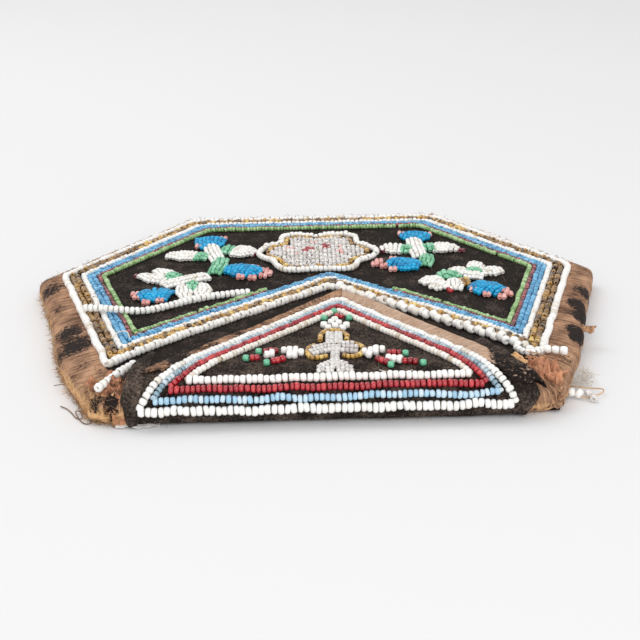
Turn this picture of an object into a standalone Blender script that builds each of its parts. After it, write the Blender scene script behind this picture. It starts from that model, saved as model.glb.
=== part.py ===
"""Flat beaded velvet bag, lying on its back with its pointed flap folded over the mouth.

Frame: +Z up, X across the bag, Y from the mouth fold to the bag's bottom edge.
All driving sizes are in millimetres, and to_metres turns points into metres.
"""
import math

import bmesh
import bpy
from mathutils import Vector

MM = 0.001

# Body outline, half of it: mouth corner, widest corner, bottom corner
MOUTH_Y = 3.0
MOUTH_HALF = 58.8
WAIST_Y = 91.5
WAIST_HALF = 86.0
BOTTOM_Y = 151.5
BOTTOM_HALF = 43.3

# Plies of each panel, and the air between plies that only touch
VELVET = 0.5
CARD = 0.4
LINING = 0.25
SILK = 0.35
PLY_GAP = 0.25
CARD_INSET = 1.2
LINING_INSET = 1.6

# Pocket between the two linings in the middle of the bag
POCKET_HEIGHT = 4.4
# The front panel drops towards the bound edge: (distance from the edge, drop)
CROWN = ((0.0, 2.3), (7.5, 1.1), (20.0, 0.25), (34.0, 0.0))
CROWN_TOLERANCE = 0.05
FRONT_MOUTH_SETBACK = 4.6

# Silk binding round the closed edge
BINDING_WIDTH = 5.6
BINDING_EASE = 0.25
BINDING_START_SETBACK = 5.0
MOUTH_BINDING_WIDTH = 2.8

# Bead rows of the body, from the edge inwards: name, bead diameter, colour
BEAD_GAP = 0.15
BEAD_SEAT = 0.25
OUTER_ROW_INSET = 7.2
OUTER_ROW_INSET_BOTTOM = 9.8
NOTCH_APEX_X = 3.2
NOTCH_APEX_Y = 73.3
NOTCH_FOOT_Y = 21.7
BODY_ROWS = (
    ("row_outer_white", 2.2, "white"),
    ("row_gold_outer", 1.4, "gold"),
    ("row_gold_inner", 1.4, "gold"),
    ("row_inner_white", 1.8, "white"),
    ("row_blue_outer", 1.25, "blue"),
    ("row_blue_inner", 1.25, "blue"),
    ("row_dark_red", 1.2, "red"),
    ("row_pale_green", 1.2, "green"),
)
BEADED_ROWS = ("row_outer_white",)
OPEN_ROWS = ("row_dark_red", "row_pale_green")
ROW_BREAK_HALF = 19.0
ROW_CORNER_CUT = 3.0
BEAD_PITCH = 1.56
SMALL_BEAD_PITCH = 1.52

# Flap, as its outer velvet face runs from the seam at the back panel, over the fold and along the front: (y, z)
FLAP_PROFILE = (
    (2.7, 0.6), (1.6, 0.35), (0.6, 1.0), (0.1, 2.4), (0.15, 4.4), (0.8, 6.4), (2.2, 8.4),
    (4.6, 10.2), (8.0, 11.3), (13.0, 11.6), (24.0, 11.1), (38.0, 10.5), (54.0, 10.05), (67.0, 9.95),
)
FLAP_HALF = 48.2
FLAP_SHOULDER = 15.0
FLAP_APEX_X = 6.2
FLAP_TIP_BLUNT = 1.2
FLAP_BINDING_WIDTH = 4.0
FLAP_BINDING_START = 0.6
FLAP_LINING_INSET = 1.4

# Bead rows of the flap: triangles on a base line across the fold, the outer one and then inwards
FLAP_ROW_RUN = 6.0
FLAP_ROW_STEP = 2.4
FLAP_ROW_END_INSET = 1.2
FLAP_ROW_SHOULDER_RUN = 11.0
FLAP_ROW_SHOULDER_INSET = 4.0
FLAP_ROW_APEX_RUN = 67.0
FLAP_ROW_APEX_OFFSET = 1.2
FLAP_ROWS = (
    ("flap_row_outer_white", 2.1, "white", BEAD_PITCH),
    ("flap_row_pale_blue", 1.5, "pale_blue", SMALL_BEAD_PITCH),
    ("flap_row_dark_red", 1.5, "red", SMALL_BEAD_PITCH),
    ("flap_row_inner_white", 1.7, "white", BEAD_PITCH),
)
FLAP_CORNER_CUT = 2.0

# The body's design is drawn for a field of this size: the V's point, the bottom edge and half the waist
DRAWN_APEX_Y = 73.3
DRAWN_BOTTOM_Y = 151.5
DRAWN_WAIST_HALF = 86.0
# Central flower, its outline from the right point round to the left: (x, y)
FLOWER = (
    (19.7, 103.4), (16.6, 109.4), (13.3, 111.6), (13.6, 118.8), (10.0, 121.1), (5.1, 121.5), (1.0, 119.7),
    (-3.2, 121.0), (-7.5, 122.4), (-11.2, 119.5), (-10.6, 113.3), (-15.4, 111.4), (-18.6, 104.0),
    (-17.2, 99.6), (-13.4, 96.2), (-12.8, 92.0), (-10.4, 87.6), (-5.5, 87.2), (0.1, 88.2), (9.9, 87.4),
    (12.2, 90.6), (12.8, 95.2), (17.4, 97.6),
)
FLOWER_BEAD = 1.7
FLOWER_AMBER_INSET = 1.9
FLOWER_AMBER_WIDTH = 1.5
FLOWER_FILLING_INSET = 3.2

# Sprigs as pads of beads laid side by side: name, colour, spine as (x, y, width)
PADS = (
    ("left_bud", "flower_blue", ((-34.0, 112.4, 3.4), (-34.2, 115.6, 7.4), (-34.2, 120.6, 8.8))),
    ("left_stem_white", "white", ((-33.2, 111.7, 3.4), (-31.2, 97.2, 3.4))),
    ("left_stem_green", "leaf_green", ((-31.1, 96.7, 3.4), (-31.5, 86.6, 3.2))),
    ("left_leaf_outer_white", "white", ((-47.4, 103.9, 2.0), (-43.0, 103.9, 4.6), (-39.1, 103.3, 4.4))),
    ("left_leaf_outer_green", "leaf_green", ((-38.5, 102.9, 4.0), (-35.2, 101.6, 3.0))),
    ("left_leaf_inner_green", "leaf_green", ((-30.0, 109.2, 3.0), (-27.2, 108.2, 3.8))),
    ("left_leaf_inner_white", "white", ((-26.6, 107.8, 4.4), (-23.4, 106.8, 4.4), (-20.6, 105.4, 2.0))),
    ("left_blossom", "flower_blue", ((-28.9, 88.8, 3.6), (-24.5, 88.2, 6.6), (-20.0, 87.0, 6.4), (-15.8, 85.2, 4.0))),
    ("left_lower_stem", "white", ((-46.8, 77.4, 2.4), (-39.6, 82.0, 2.6), (-33.9, 84.2, 2.6))),
    ("left_lower_blossom", "flower_blue", ((-52.8, 67.6, 4.0), (-48.6, 69.4, 7.4), (-44.4, 67.4, 5.4))),
    ("right_bud", "flower_blue", ((32.5, 114.6, 3.4), (32.8, 117.2, 7.8), (33.2, 121.6, 8.8))),
    ("right_stem_white", "white", ((32.2, 113.9, 3.6), (32.2, 96.9, 3.4))),
    ("right_stem_green", "leaf_green", ((33.4, 96.3, 3.0), (33.6, 89.4, 3.0))),
    ("right_leaf_outer_green", "leaf_green", ((34.9, 106.6, 3.0), (38.1, 107.0, 3.8))),
    ("right_leaf_outer_white", "white", ((38.7, 107.2, 4.4), (42.5, 106.8, 4.4), (46.0, 105.4, 2.0))),
    ("right_leaf_inner_white", "white", ((21.7, 107.2, 2.0), (24.2, 106.8, 4.4), (27.0, 106.0, 4.2))),
    ("right_leaf_inner_green", "leaf_green", ((27.5, 105.9, 3.8), (29.9, 105.3, 3.0))),
    ("right_blossom", "flower_blue", ((20.4, 93.6, 3.4), (23.8, 91.6, 6.4), (27.6, 90.2, 6.2), (31.0, 88.6, 3.8))),
    ("right_lower_stem", "white", ((43.0, 84.8, 2.2), (44.2, 80.0, 2.6), (49.6, 78.0, 2.6))),
    ("right_lower_blossom", "flower_blue", ((45.8, 72.0, 4.4), (49.6, 69.2, 7.2), (53.2, 66.6, 4.2))),
)
# Shapes of beads that fork, by their outline: (x, y)
SHAPES = (
    ("left_lower_leaves", "white", (
        (-54.6, 86.4), (-51.0, 81.8), (-46.6, 80.6), (-43.6, 83.4), (-44.8, 87.0), (-49.6, 90.6), (-48.2, 85.8),
        (-50.6, 85.0))),
    ("right_lower_leaves", "white", (
        (47.4, 84.6), (49.6, 81.8), (53.0, 80.8), (56.6, 83.4), (52.4, 84.8), (51.0, 86.0), (51.0, 91.0), (48.0, 88.2))),
)
# Flap design, placed as (x, run)
FLAP_PADS = (
    ("flap_left_white", "white", ((-11.8, 25.2, 5.4), (-9.0, 25.0, 7.0), (-6.5, 24.8, 6.0))),
    ("flap_right_white", "white", ((10.9, 24.0, 5.8), (13.4, 23.8, 7.0), (15.8, 23.4, 5.4))),
    ("flap_arch", "gold", (
        (-1.4, 33.1, 1.6), (0.2, 38.8, 1.6), (1.6, 41.2, 1.6), (3.4, 41.8, 1.6), (5.0, 40.6, 1.6), (6.0, 37.0, 1.6),
        (5.7, 32.8, 1.6))),
)
FLAP_SHAPES = (
    ("flap_loops", "white", (
        (1.2, 44.6), (3.6, 46.2), (6.2, 44.6), (8.4, 45.6), (8.4, 47.6), (6.6, 49.0), (5.9, 51.0), (4.4, 52.0),
        (2.9, 51.0), (2.4, 49.0), (0.4, 48.2), (-1.2, 46.8), (-0.8, 45.2))),
    ("flap_clear_petals", "clear", (
        (-3.2, 15.6), (0.4, 15.8), (2.4, 18.2), (4.4, 15.8), (7.4, 15.4), (7.0, 17.8), (4.0, 20.0), (3.6, 22.8),
        (6.4, 23.2), (9.4, 24.6), (10.0, 27.2), (7.4, 29.8), (4.4, 31.2), (4.4, 36.2), (3.6, 38.0), (2.0, 38.0),
        (1.1, 36.2), (0.5, 31.2), (-3.2, 30.0), (-5.5, 27.4), (-5.1, 24.6), (-2.4, 23.0), (1.2, 22.8), (1.0, 20.0),
        (-2.6, 17.8))),
    ("flap_left_branches", "red", (
        (-12.5, 28.8), (-16.6, 28.9), (-16.6, 27.0), (-14.2, 26.8), (-14.2, 24.9), (-20.2, 24.8), (-20.2, 22.8),
        (-14.3, 22.9), (-14.3, 21.8), (-16.0, 19.2), (-14.2, 18.0), (-12.5, 20.6))),
    ("flap_right_branches", "red", (
        (16.5, 26.0), (16.5, 18.6), (15.0, 17.2), (16.6, 15.6), (18.2, 17.4), (18.2, 18.6), (23.2, 16.8), (23.8, 18.6),
        (18.2, 20.6), (18.2, 22.6), (20.2, 22.4), (20.2, 24.2), (18.2, 24.6))),
)
PAD_RISE = 1.2
PAD_LANE = 1.4
PAD_DIP = 0.72

# Free strands of beads: name, diameter, path as (x, y, z), measured from the drawing's zero, or in the next two
# groups from the mouth corner that the strand lies at
STRANDS = (
    ("loose_strand", 2.0, (
        (-67.6, 56.4, 10.7), (-63.0, 55.6, 10.8), (-56.8, 54.8, 10.5), (-52.5, 55.6, 9.7), (-48.3, 57.0, 9.45),
        (-42.0, 60.8, 9.45), (-36.2, 64.6, 9.45), (-29.0, 67.4, 9.45), (-20.5, 69.3, 9.45))),
)
LEFT_CORNER_STRANDS = (
    ("corner_strand", 1.8, ((0.2, 6.4, 8.0), (2.8, 9.8, 8.4), (5.2, 12.6, 9.0), (7.4, 15.2, 9.3))),
)
RIGHT_CORNER_STRANDS = (
    ("corner_thread_beads", 1.8, ((5.4, 8.2, 1.0), (7.6, 7.2, 1.0), (9.8, 5.8, 1.0))),
)
# Distance between the points of a strand, in diameters
STRAND_STEP = 2.2

COLOURS = {
    "velvet": (0.020, 0.013, 0.011, 1.0, 0.95),
    "card": (0.45, 0.36, 0.24, 1.0, 0.90),
    "lining": (0.50, 0.42, 0.32, 1.0, 0.90),
    "silk": (0.24, 0.13, 0.08, 1.0, 0.60),
    "white": (0.86, 0.81, 0.73, 1.0, 0.25),
    "gold": (0.45, 0.22, 0.03, 1.0, 0.15),
    "blue": (0.10, 0.33, 0.60, 1.0, 0.20),
    "flower_blue": (0.01, 0.22, 0.62, 1.0, 0.20),
    "pale_blue": (0.33, 0.50, 0.68, 1.0, 0.20),
    "red": (0.22, 0.02, 0.03, 1.0, 0.15),
    "green": (0.22, 0.38, 0.14, 1.0, 0.20),
    "leaf_green": (0.12, 0.40, 0.20, 1.0, 0.20),
    "clear": (0.55, 0.50, 0.46, 1.0, 0.15),
}


def clear_scene():
    for obj in list(bpy.data.objects):
        bpy.data.objects.remove(obj, do_unlink=True)


def material(colour):
    found = bpy.data.materials.get(colour)
    if found:
        return found
    made = bpy.data.materials.new(colour)
    made.use_nodes = True
    red, green, blue, alpha, roughness = COLOURS[colour]
    shader = made.node_tree.nodes["Principled BSDF"]
    shader.inputs["Base Color"].default_value = (red, green, blue, alpha)
    shader.inputs["Roughness"].default_value = roughness
    shader.inputs["Metallic"].default_value = 0.0
    return made


def to_metres(point):
    return Vector(point) * MM


def finish(name, mesh_points, faces, colour):
    """Make one object from points in millimetres and faces, with every face turned outwards."""
    mesh = bpy.data.meshes.new(name)
    mesh.from_pydata([to_metres(p) for p in mesh_points], [], faces)
    shell = bmesh.new()
    shell.from_mesh(mesh)
    bmesh.ops.recalc_face_normals(shell, faces=shell.faces)
    shell.to_mesh(mesh)
    shell.free()
    mesh.materials.append(material(colour))
    obj = bpy.data.objects.new(name, mesh)
    bpy.context.scene.collection.objects.link(obj)
    return obj


def loft(name, sections, colour, closed=False):
    """Skin a run of sections, each the same count of points, and cap both ends unless the run is closed."""
    count = len(sections[0])
    points = [p for section in sections for p in section]
    faces = []
    last = len(sections) if closed else len(sections) - 1
    for i in range(last):
        near = i * count
        far = ((i + 1) % len(sections)) * count
        for j in range(count):
            k = (j + 1) % count
            faces.append((near + j, near + k, far + k, far + j))
    if not closed:
        faces.append(tuple(range(count)))
        faces.append(tuple(reversed(range(len(points) - count, len(points)))))
    return finish(name, points, faces, colour)


# Lines in the plane, each kept as (normal x, normal y, distance): inside is where the value is positive
def line_through(start, end, inner_side):
    direction = (Vector(end) - Vector(start)).normalized()
    normal = Vector((-direction.y, direction.x))
    distance = normal.dot(Vector(start))
    if normal.dot(Vector(inner_side)) < distance:
        normal = -normal
        distance = -distance
    return (normal.x, normal.y, distance)


def moved_in(line, by):
    return (line[0], line[1], line[2] + by)


def crossing(first, second):
    determinant = first[0] * second[1] - first[1] * second[0]
    x = (first[2] * second[1] - first[1] * second[2]) / determinant
    y = (first[0] * second[2] - first[2] * second[0]) / determinant
    return (x, y)


def depth_inside(line, point):
    return line[0] * point[0] + line[1] * point[1] - line[2]


# Body outline as lines: left lower side, left upper side, bottom, right upper side, right lower side
CENTRE = (0.0, (MOUTH_Y + BOTTOM_Y) / 2)
CORNERS = (
    (-MOUTH_HALF, MOUTH_Y), (-WAIST_HALF, WAIST_Y), (-BOTTOM_HALF, BOTTOM_Y),
    (BOTTOM_HALF, BOTTOM_Y), (WAIST_HALF, WAIST_Y), (MOUTH_HALF, MOUTH_Y),
)
SIDES = tuple(line_through(CORNERS[i], CORNERS[i + 1], CENTRE) for i in range(5))


def body_path(insets, mouth_y):
    """Corner points of the body outline, moved in by one distance a side, open at the mouth."""
    sides = [moved_in(side, inset) for side, inset in zip(SIDES, insets)]
    mouth = (0.0, 1.0, mouth_y)
    points = [crossing(mouth, sides[0])]
    points += [crossing(sides[i], sides[i + 1]) for i in range(4)]
    points.append(crossing(sides[4], mouth))
    return points


def edge_distance(point):
    return min(depth_inside(side, point) for side in SIDES)


def crown_drop(distance):
    """How far the front panel lies below its middle, at a distance in from the bound edge."""
    if distance <= CROWN[0][0]:
        return CROWN[0][1]
    for (near, near_drop), (far, far_drop) in zip(CROWN, CROWN[1:]):
        if distance <= far:
            share = (distance - near) / (far - near)
            return near_drop + share * (far_drop - near_drop)
    return CROWN[-1][1]


# Heights of the plies in the middle of the bag
BACK_VELVET_Z = SILK + PLY_GAP
BACK_CARD_Z = BACK_VELVET_Z + VELVET + PLY_GAP
BACK_LINING_Z = BACK_CARD_Z + CARD + PLY_GAP
POCKET_Z = BACK_LINING_Z + LINING
FRONT_LINING_Z = POCKET_Z + POCKET_HEIGHT
FRONT_CARD_Z = FRONT_LINING_Z + LINING + PLY_GAP
FRONT_VELVET_Z = FRONT_CARD_Z + CARD + PLY_GAP
FRONT_TOP_Z = FRONT_VELVET_Z + VELVET
FRONT_MOUTH_Y = MOUTH_Y + FRONT_MOUTH_SETBACK
LINING_MOUTH_Y = FRONT_MOUTH_Y + MOUTH_BINDING_WIDTH + PLY_GAP


def front_height(point):
    """Height of the front velvet's face at a point of the plan."""
    return FRONT_TOP_Z - crown_drop(edge_distance(point))


def flat_ply(name, low_z, thickness, inset, colour):
    plan = body_path([inset] * len(SIDES), MOUTH_Y + inset)
    sections = [[(x, y, low_z) for x, y in plan], [(x, y, low_z + thickness) for x, y in plan]]
    return loft(name, sections, colour)


def crowned_ply(name, low_z, thickness, inset, mouth_y, colour):
    """A ply of the front panel: rings of the outline moved in step by step, each at its crown height."""
    steps = [inset] + [step for step, _ in CROWN if step > inset]
    rings = [body_path([step] * len(SIDES), mouth_y) for step in steps]
    count = len(rings[0])
    points = []
    for base in (low_z, low_z + thickness):
        for step, ring in zip(steps, rings):
            points += [(x, y, base - crown_drop(step)) for x, y in ring]
    upper = len(rings) * count
    faces = []
    for base in (0, upper):
        for r in range(len(rings) - 1):
            a = base + r * count
            b = a + count
            faces += [(a + i, a + i + 1, b + i + 1, b + i) for i in range(count - 1)]
        inner = base + (len(rings) - 1) * count
        faces.append(tuple(inner + i for i in range(count)))
    faces += [(i, i + 1, upper + i + 1, upper + i) for i in range(count - 1)]
    mouth = [r * count for r in range(len(rings))]
    mouth += [r * count + count - 1 for r in reversed(range(len(rings)))]
    faces += [(a, b, upper + b, upper + a) for a, b in zip(mouth, mouth[1:])]
    return finish(name, points, faces, colour)


def edge_binding():
    """Silk folded over the closed edge: under the back, up the side and over the front's border."""
    outside = -(PLY_GAP + SILK)
    inside = -PLY_GAP
    width = BINDING_WIDTH
    ease = BINDING_EASE
    rim_z = FRONT_TOP_Z - crown_drop(0.0) + PLY_GAP
    inner_end_z = FRONT_TOP_Z - crown_drop(width) + PLY_GAP
    section = [
        (width, 0.0), (outside + ease, 0.0), (outside, ease), (outside, rim_z + SILK - ease),
        (outside + ease, rim_z + SILK), (width, inner_end_z + SILK),
        (width, inner_end_z), (inside, rim_z), (inside, SILK), (width, SILK),
    ]
    start_y = MOUTH_Y + BINDING_START_SETBACK
    lines = [body_path([d] * len(SIDES), start_y) for d, _ in section]
    sections = []
    for corner_index in range(6):
        sections.append([(*line[corner_index], z) for line, (_, z) in zip(lines, section)])
    return loft("edge_binding", sections, "silk")


def mouth_binding():
    """Silk folded over the front panel's mouth edge, from one end of the edge binding to the other."""
    start = BINDING_WIDTH + 2 * PLY_GAP
    near = FRONT_MOUTH_Y - PLY_GAP
    far = FRONT_MOUTH_Y + MOUTH_BINDING_WIDTH
    over = FRONT_TOP_Z + PLY_GAP
    under = FRONT_CARD_Z - PLY_GAP
    section = (
        (far, over), (far, over + SILK), (near - SILK, over + SILK), (near - SILK, under - SILK),
        (far, under - SILK), (far, under), (near, under), (near, over),
    )
    steps = [start] + [step for step, _ in CROWN if step > start]
    sections = []
    for step in steps:
        ring = [(*body_path([step] * len(SIDES), y)[0], z - crown_drop(step)) for y, z in section]
        sections.append(ring)
    sections += [[(-x, y, z) for x, y, z in ring] for ring in reversed(sections)]
    return loft("mouth_binding", sections, "silk")


# Flap: a place on it is (x, run, lift), where run is measured along its outer face from the seam
def run_stations():
    runs = [0.0]
    for (y0, z0), (y1, z1) in zip(FLAP_PROFILE, FLAP_PROFILE[1:]):
        runs.append(runs[-1] + math.hypot(y1 - y0, z1 - z0))
    return runs


FLAP_RUNS = run_stations()
FLAP_LENGTH = FLAP_RUNS[-1]


def profile_normals():
    """Outward normal of the flap at each profile point, the mean of its two neighbours' normals."""
    legs = []
    for (y0, z0), (y1, z1) in zip(FLAP_PROFILE, FLAP_PROFILE[1:]):
        length = math.hypot(y1 - y0, z1 - z0)
        legs.append(Vector((-(z1 - z0) / length, (y1 - y0) / length)))
    normals = [legs[0]]
    normals += [(a + b).normalized() / max((a + b).normalized().dot(a), 0.5) for a, b in zip(legs, legs[1:])]
    normals.append(legs[-1])
    return normals


FLAP_NORMALS = profile_normals()


def on_flap(x, run, lift):
    """The point in space of a place on the flap."""
    run = min(max(run, 0.0), FLAP_LENGTH)
    k = 0
    while k < len(FLAP_RUNS) - 2 and FLAP_RUNS[k + 1] < run:
        k += 1
    share = (run - FLAP_RUNS[k]) / (FLAP_RUNS[k + 1] - FLAP_RUNS[k])
    y = FLAP_PROFILE[k][0] + share * (FLAP_PROFILE[k + 1][0] - FLAP_PROFILE[k][0])
    z = FLAP_PROFILE[k][1] + share * (FLAP_PROFILE[k + 1][1] - FLAP_PROFILE[k][1])
    normal = FLAP_NORMALS[k].lerp(FLAP_NORMALS[k + 1], share)
    return (x, y + lift * normal.x, z + lift * normal.y)


def on_flap_beyond(x, run, lift):
    """A place on the flap that may lie a little past its tip, straight on."""
    spare = max(run - FLAP_LENGTH, 0.0)
    px, py, pz = on_flap(x, run, lift)
    (y0, z0), (y1, z1) = FLAP_PROFILE[-2:]
    length = math.hypot(y1 - y0, z1 - z0)
    return (px, py + spare * (y1 - y0) / length, pz + spare * (z1 - z0) / length)


FLAP_CENTRE = (0.0, FLAP_SHOULDER)
FLAP_APEX = (FLAP_APEX_X, FLAP_LENGTH)
LEFT_SLANT = line_through((-FLAP_HALF, FLAP_SHOULDER), FLAP_APEX, FLAP_CENTRE)
RIGHT_SLANT = line_through(FLAP_APEX, (FLAP_HALF, FLAP_SHOULDER), FLAP_CENTRE)


def x_on(line, run):
    return (line[2] - line[1] * run) / line[0]


def flap_edges(inset, run):
    """The left and right ends of the flap at one run, moved in from its edges."""
    left = max(inset - FLAP_HALF, x_on(moved_in(LEFT_SLANT, inset), run))
    right = min(FLAP_HALF - inset, x_on(moved_in(RIGHT_SLANT, inset), run))
    return left, right


def flap_ply(name, lift, thickness, inset, colour):
    """One cloth of the flap, as sections across it from the seam to the blunt tip."""
    tip = crossing(moved_in(LEFT_SLANT, inset), moved_in(RIGHT_SLANT, inset))[1] - FLAP_TIP_BLUNT
    stops = [run for run in FLAP_RUNS if run < tip]
    for side, slant in (((1.0, 0.0, inset - FLAP_HALF), LEFT_SLANT), ((-1.0, 0.0, inset - FLAP_HALF), RIGHT_SLANT)):
        stops.append(crossing(side, moved_in(slant, inset))[1])
    stops = sorted(stops) + [tip]
    sections = []
    for run in stops:
        left, right = flap_edges(inset, run)
        sections.append([
            on_flap(left, run, lift - thickness), on_flap(left, run, lift),
            on_flap(right, run, lift), on_flap(right, run, lift - thickness),
        ])
    return loft(name, sections, colour)


def spread(start, end, count):
    return [tuple(a + (b - a) * i / count for a, b in zip(start, end)) for i in range(count)]


def flap_binding():
    """Silk folded over the flap's two slanting edges, which meet at its tip."""
    under = -(VELVET + PLY_GAP + LINING)
    out = PLY_GAP + SILK
    width = FLAP_BINDING_WIDTH
    section = (
        (width, PLY_GAP), (width, out), (-out, out), (-out, under - out),
        (width, under - out), (width, under - PLY_GAP), (-PLY_GAP, under - PLY_GAP), (-PLY_GAP, PLY_GAP),
    )
    tips = [crossing(moved_in(LEFT_SLANT, inset), moved_in(RIGHT_SLANT, inset)) for inset, _ in section]
    first = FLAP_SHOULDER + FLAP_BINDING_START
    stops = [first] + [run for run in FLAP_RUNS if first < run < min(tip[1] for tip in tips)]

    def ring(slant, run):
        return [on_flap(x_on(moved_in(slant, inset), run), run, lift) for inset, lift in section]

    sections = [ring(LEFT_SLANT, run) for run in stops]
    sections.append([on_flap_beyond(*tip, lift) for tip, (_, lift) in zip(tips, section)])
    sections += [ring(RIGHT_SLANT, run) for run in reversed(stops)]
    return loft("flap_binding", sections, "silk")


# Bead rows: a path in the plan or on the flap, and a function that lifts a place of it into space
def on_front(x, y, lift):
    return (x, y, front_height((x, y)) + lift)


def cut_corners(points, cut, closed, sharp=100.0):
    """Replace each corner sharper than an angle by a short straight run across it."""
    made = []
    count = len(points)
    for i, point in enumerate(points):
        here = Vector(point)
        if not closed and i in (0, count - 1):
            made.append(tuple(here))
            continue
        to_last = Vector(points[i - 1]) - here
        to_next = Vector(points[(i + 1) % count]) - here
        if math.degrees(to_last.angle(to_next)) < sharp:
            made.append(tuple(here + to_last.normalized() * cut))
            made.append(tuple(here + to_next.normalized() * cut))
        else:
            made.append(tuple(here))
    return made


def stations_along(points, pitch, closed):
    """Points along a path at about one pitch, with a point on each corner."""
    made = []
    count = len(points)
    for i in range(count if closed else count - 1):
        a = points[i]
        b = points[(i + 1) % count]
        steps = max(1, round((Vector(b) - Vector(a)).length / pitch))
        made += spread(a, b, steps)
    if not closed:
        made.append(tuple(points[-1]))
    return made


def side_steps(stations, closed):
    """The mitred step to the left of the path at each station, for a row one unit wide each side."""
    steps = []
    count = len(stations)
    for i, point in enumerate(stations):
        here = Vector(point)
        before = here - Vector(stations[i - 1]) if closed or i > 0 else None
        after = Vector(stations[(i + 1) % count]) - here if closed or i < count - 1 else None
        first = (before or after).normalized()
        second = (after or before).normalized()
        left_first = Vector((-first.y, first.x))
        left_second = Vector((-second.y, second.x))
        mitre = (left_first + left_second).normalized()
        steps.append(mitre / max(mitre.dot(left_first), 0.5))
    return steps


def beaded_row(name, path, pitch, diameter, place, colour, closed=True):
    """A stitched row of beads: a ridge whose top rises to a peak on each bead and dips between two."""
    stations = stations_along(path, pitch, closed)
    steps = side_steps(stations, closed)
    half = diameter / 2
    dip = 0.55 * diameter
    points = []
    for (x, y), step in zip(stations, steps):
        points.append(place(x - half * step.x, y - half * step.y, BEAD_SEAT))
        points.append(place(x, y, BEAD_SEAT + dip))
        points.append(place(x + half * step.x, y + half * step.y, BEAD_SEAT))
    count = len(stations)
    beads = count if closed else count - 1
    faces = []
    for i in range(beads):
        x0, y0 = stations[i]
        x1, y1 = stations[(i + 1) % count]
        peak = len(points)
        points.append(place((x0 + x1) / 2, (y0 + y1) / 2, BEAD_SEAT + diameter))
        a = 3 * i
        b = 3 * ((i + 1) % count)
        faces += [
            (a, a + 1, peak), (a, peak, b), (b, peak, b + 1),
            (a + 2, peak, a + 1), (a + 2, b + 2, peak), (b + 2, b + 1, peak),
            (a, b, b + 2, a + 2),
        ]
    if not closed:
        last = 3 * (count - 1)
        faces += [(0, 2, 1), (last, last + 1, last + 2)]
    return finish(name, points, faces, colour)


def follow_crown(start, end):
    """The start of a straight run and the points on it where the front's height bends, found by halving."""
    middle = tuple((a + b) / 2 for a, b in zip(start, end))
    straight = (front_height(start) + front_height(end)) / 2
    if abs(front_height(middle) - straight) < CROWN_TOLERANCE:
        return [tuple(start)]
    return follow_crown(start, middle) + follow_crown(middle, end)


def plain_row(name, path, diameter, colour, closed=True):
    """A stitched row on the front as a smooth ridge with a rounded top."""
    runs = zip(path, path[1:] + path[:1]) if closed else zip(path, path[1:])
    stations = [point for start, end in runs for point in follow_crown(start, end)]
    if not closed:
        stations.append(tuple(path[-1]))
    steps = side_steps(stations, closed)
    profile = ((-0.5, 0.0), (-0.3, 0.85), (0.3, 0.85), (0.5, 0.0))
    sections = []
    for (x, y), step in zip(stations, steps):
        ring = []
        for side, rise in profile:
            across = diameter * side
            ring.append(on_front(x + across * step.x, y + across * step.y, BEAD_SEAT + diameter * rise))
        sections.append(ring)
    return loft(name, sections, colour, closed)


def row_offsets(rows):
    """How far each row's middle lies in from the first row's middle."""
    offsets = [0.0]
    for (_, first, *_), (_, second, *_) in zip(rows, rows[1:]):
        offsets.append(offsets[-1] + first / 2 + BEAD_GAP + second / 2)
    return offsets


OUTER_ROW_INSETS = (OUTER_ROW_INSET, OUTER_ROW_INSET, OUTER_ROW_INSET_BOTTOM, OUTER_ROW_INSET, OUTER_ROW_INSET)
FIELD_CENTRE = (0.0, (NOTCH_APEX_Y + BOTTOM_Y) / 2)


def notch_lines():
    """The two lines of the V that the body's rows make along the flap."""
    first = body_path(OUTER_ROW_INSETS, NOTCH_FOOT_Y)
    apex = (NOTCH_APEX_X, NOTCH_APEX_Y)
    return line_through(first[0], apex, FIELD_CENTRE), line_through(apex, first[-1], FIELD_CENTRE)


def row_outline(offset):
    """Corners of one body row: left foot, waist, bottom, and round to the right foot and the V's point."""
    insets = [inset + offset for inset in OUTER_ROW_INSETS]
    sides = [moved_in(side, inset) for side, inset in zip(SIDES, insets)]
    left, right = [moved_in(line, offset) for line in notch_lines()]
    points = [crossing(left, sides[0])]
    points += [crossing(sides[i], sides[i + 1]) for i in range(4)]
    points += [crossing(sides[4], right), crossing(right, left)]
    return points


def body_rows():
    for (name, diameter, colour), offset in zip(BODY_ROWS, row_offsets(BODY_ROWS)):
        corners = row_outline(offset)
        closed = name not in OPEN_ROWS
        if not closed:
            apex = Vector(corners[-1])
            start = apex + (Vector(corners[0]) - apex).normalized() * ROW_BREAK_HALF / 0.75
            end = apex + (Vector(corners[-2]) - apex).normalized() * ROW_BREAK_HALF / 0.75
            corners = [tuple(start)] + corners[:-1] + [tuple(end)]
        path = cut_corners(corners, ROW_CORNER_CUT, closed, sharp=60.0)
        if name in BEADED_ROWS:
            beaded_row(name, path, BEAD_PITCH, diameter, on_front, colour, closed)
        else:
            plain_row(name, path, diameter, colour, closed)


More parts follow.
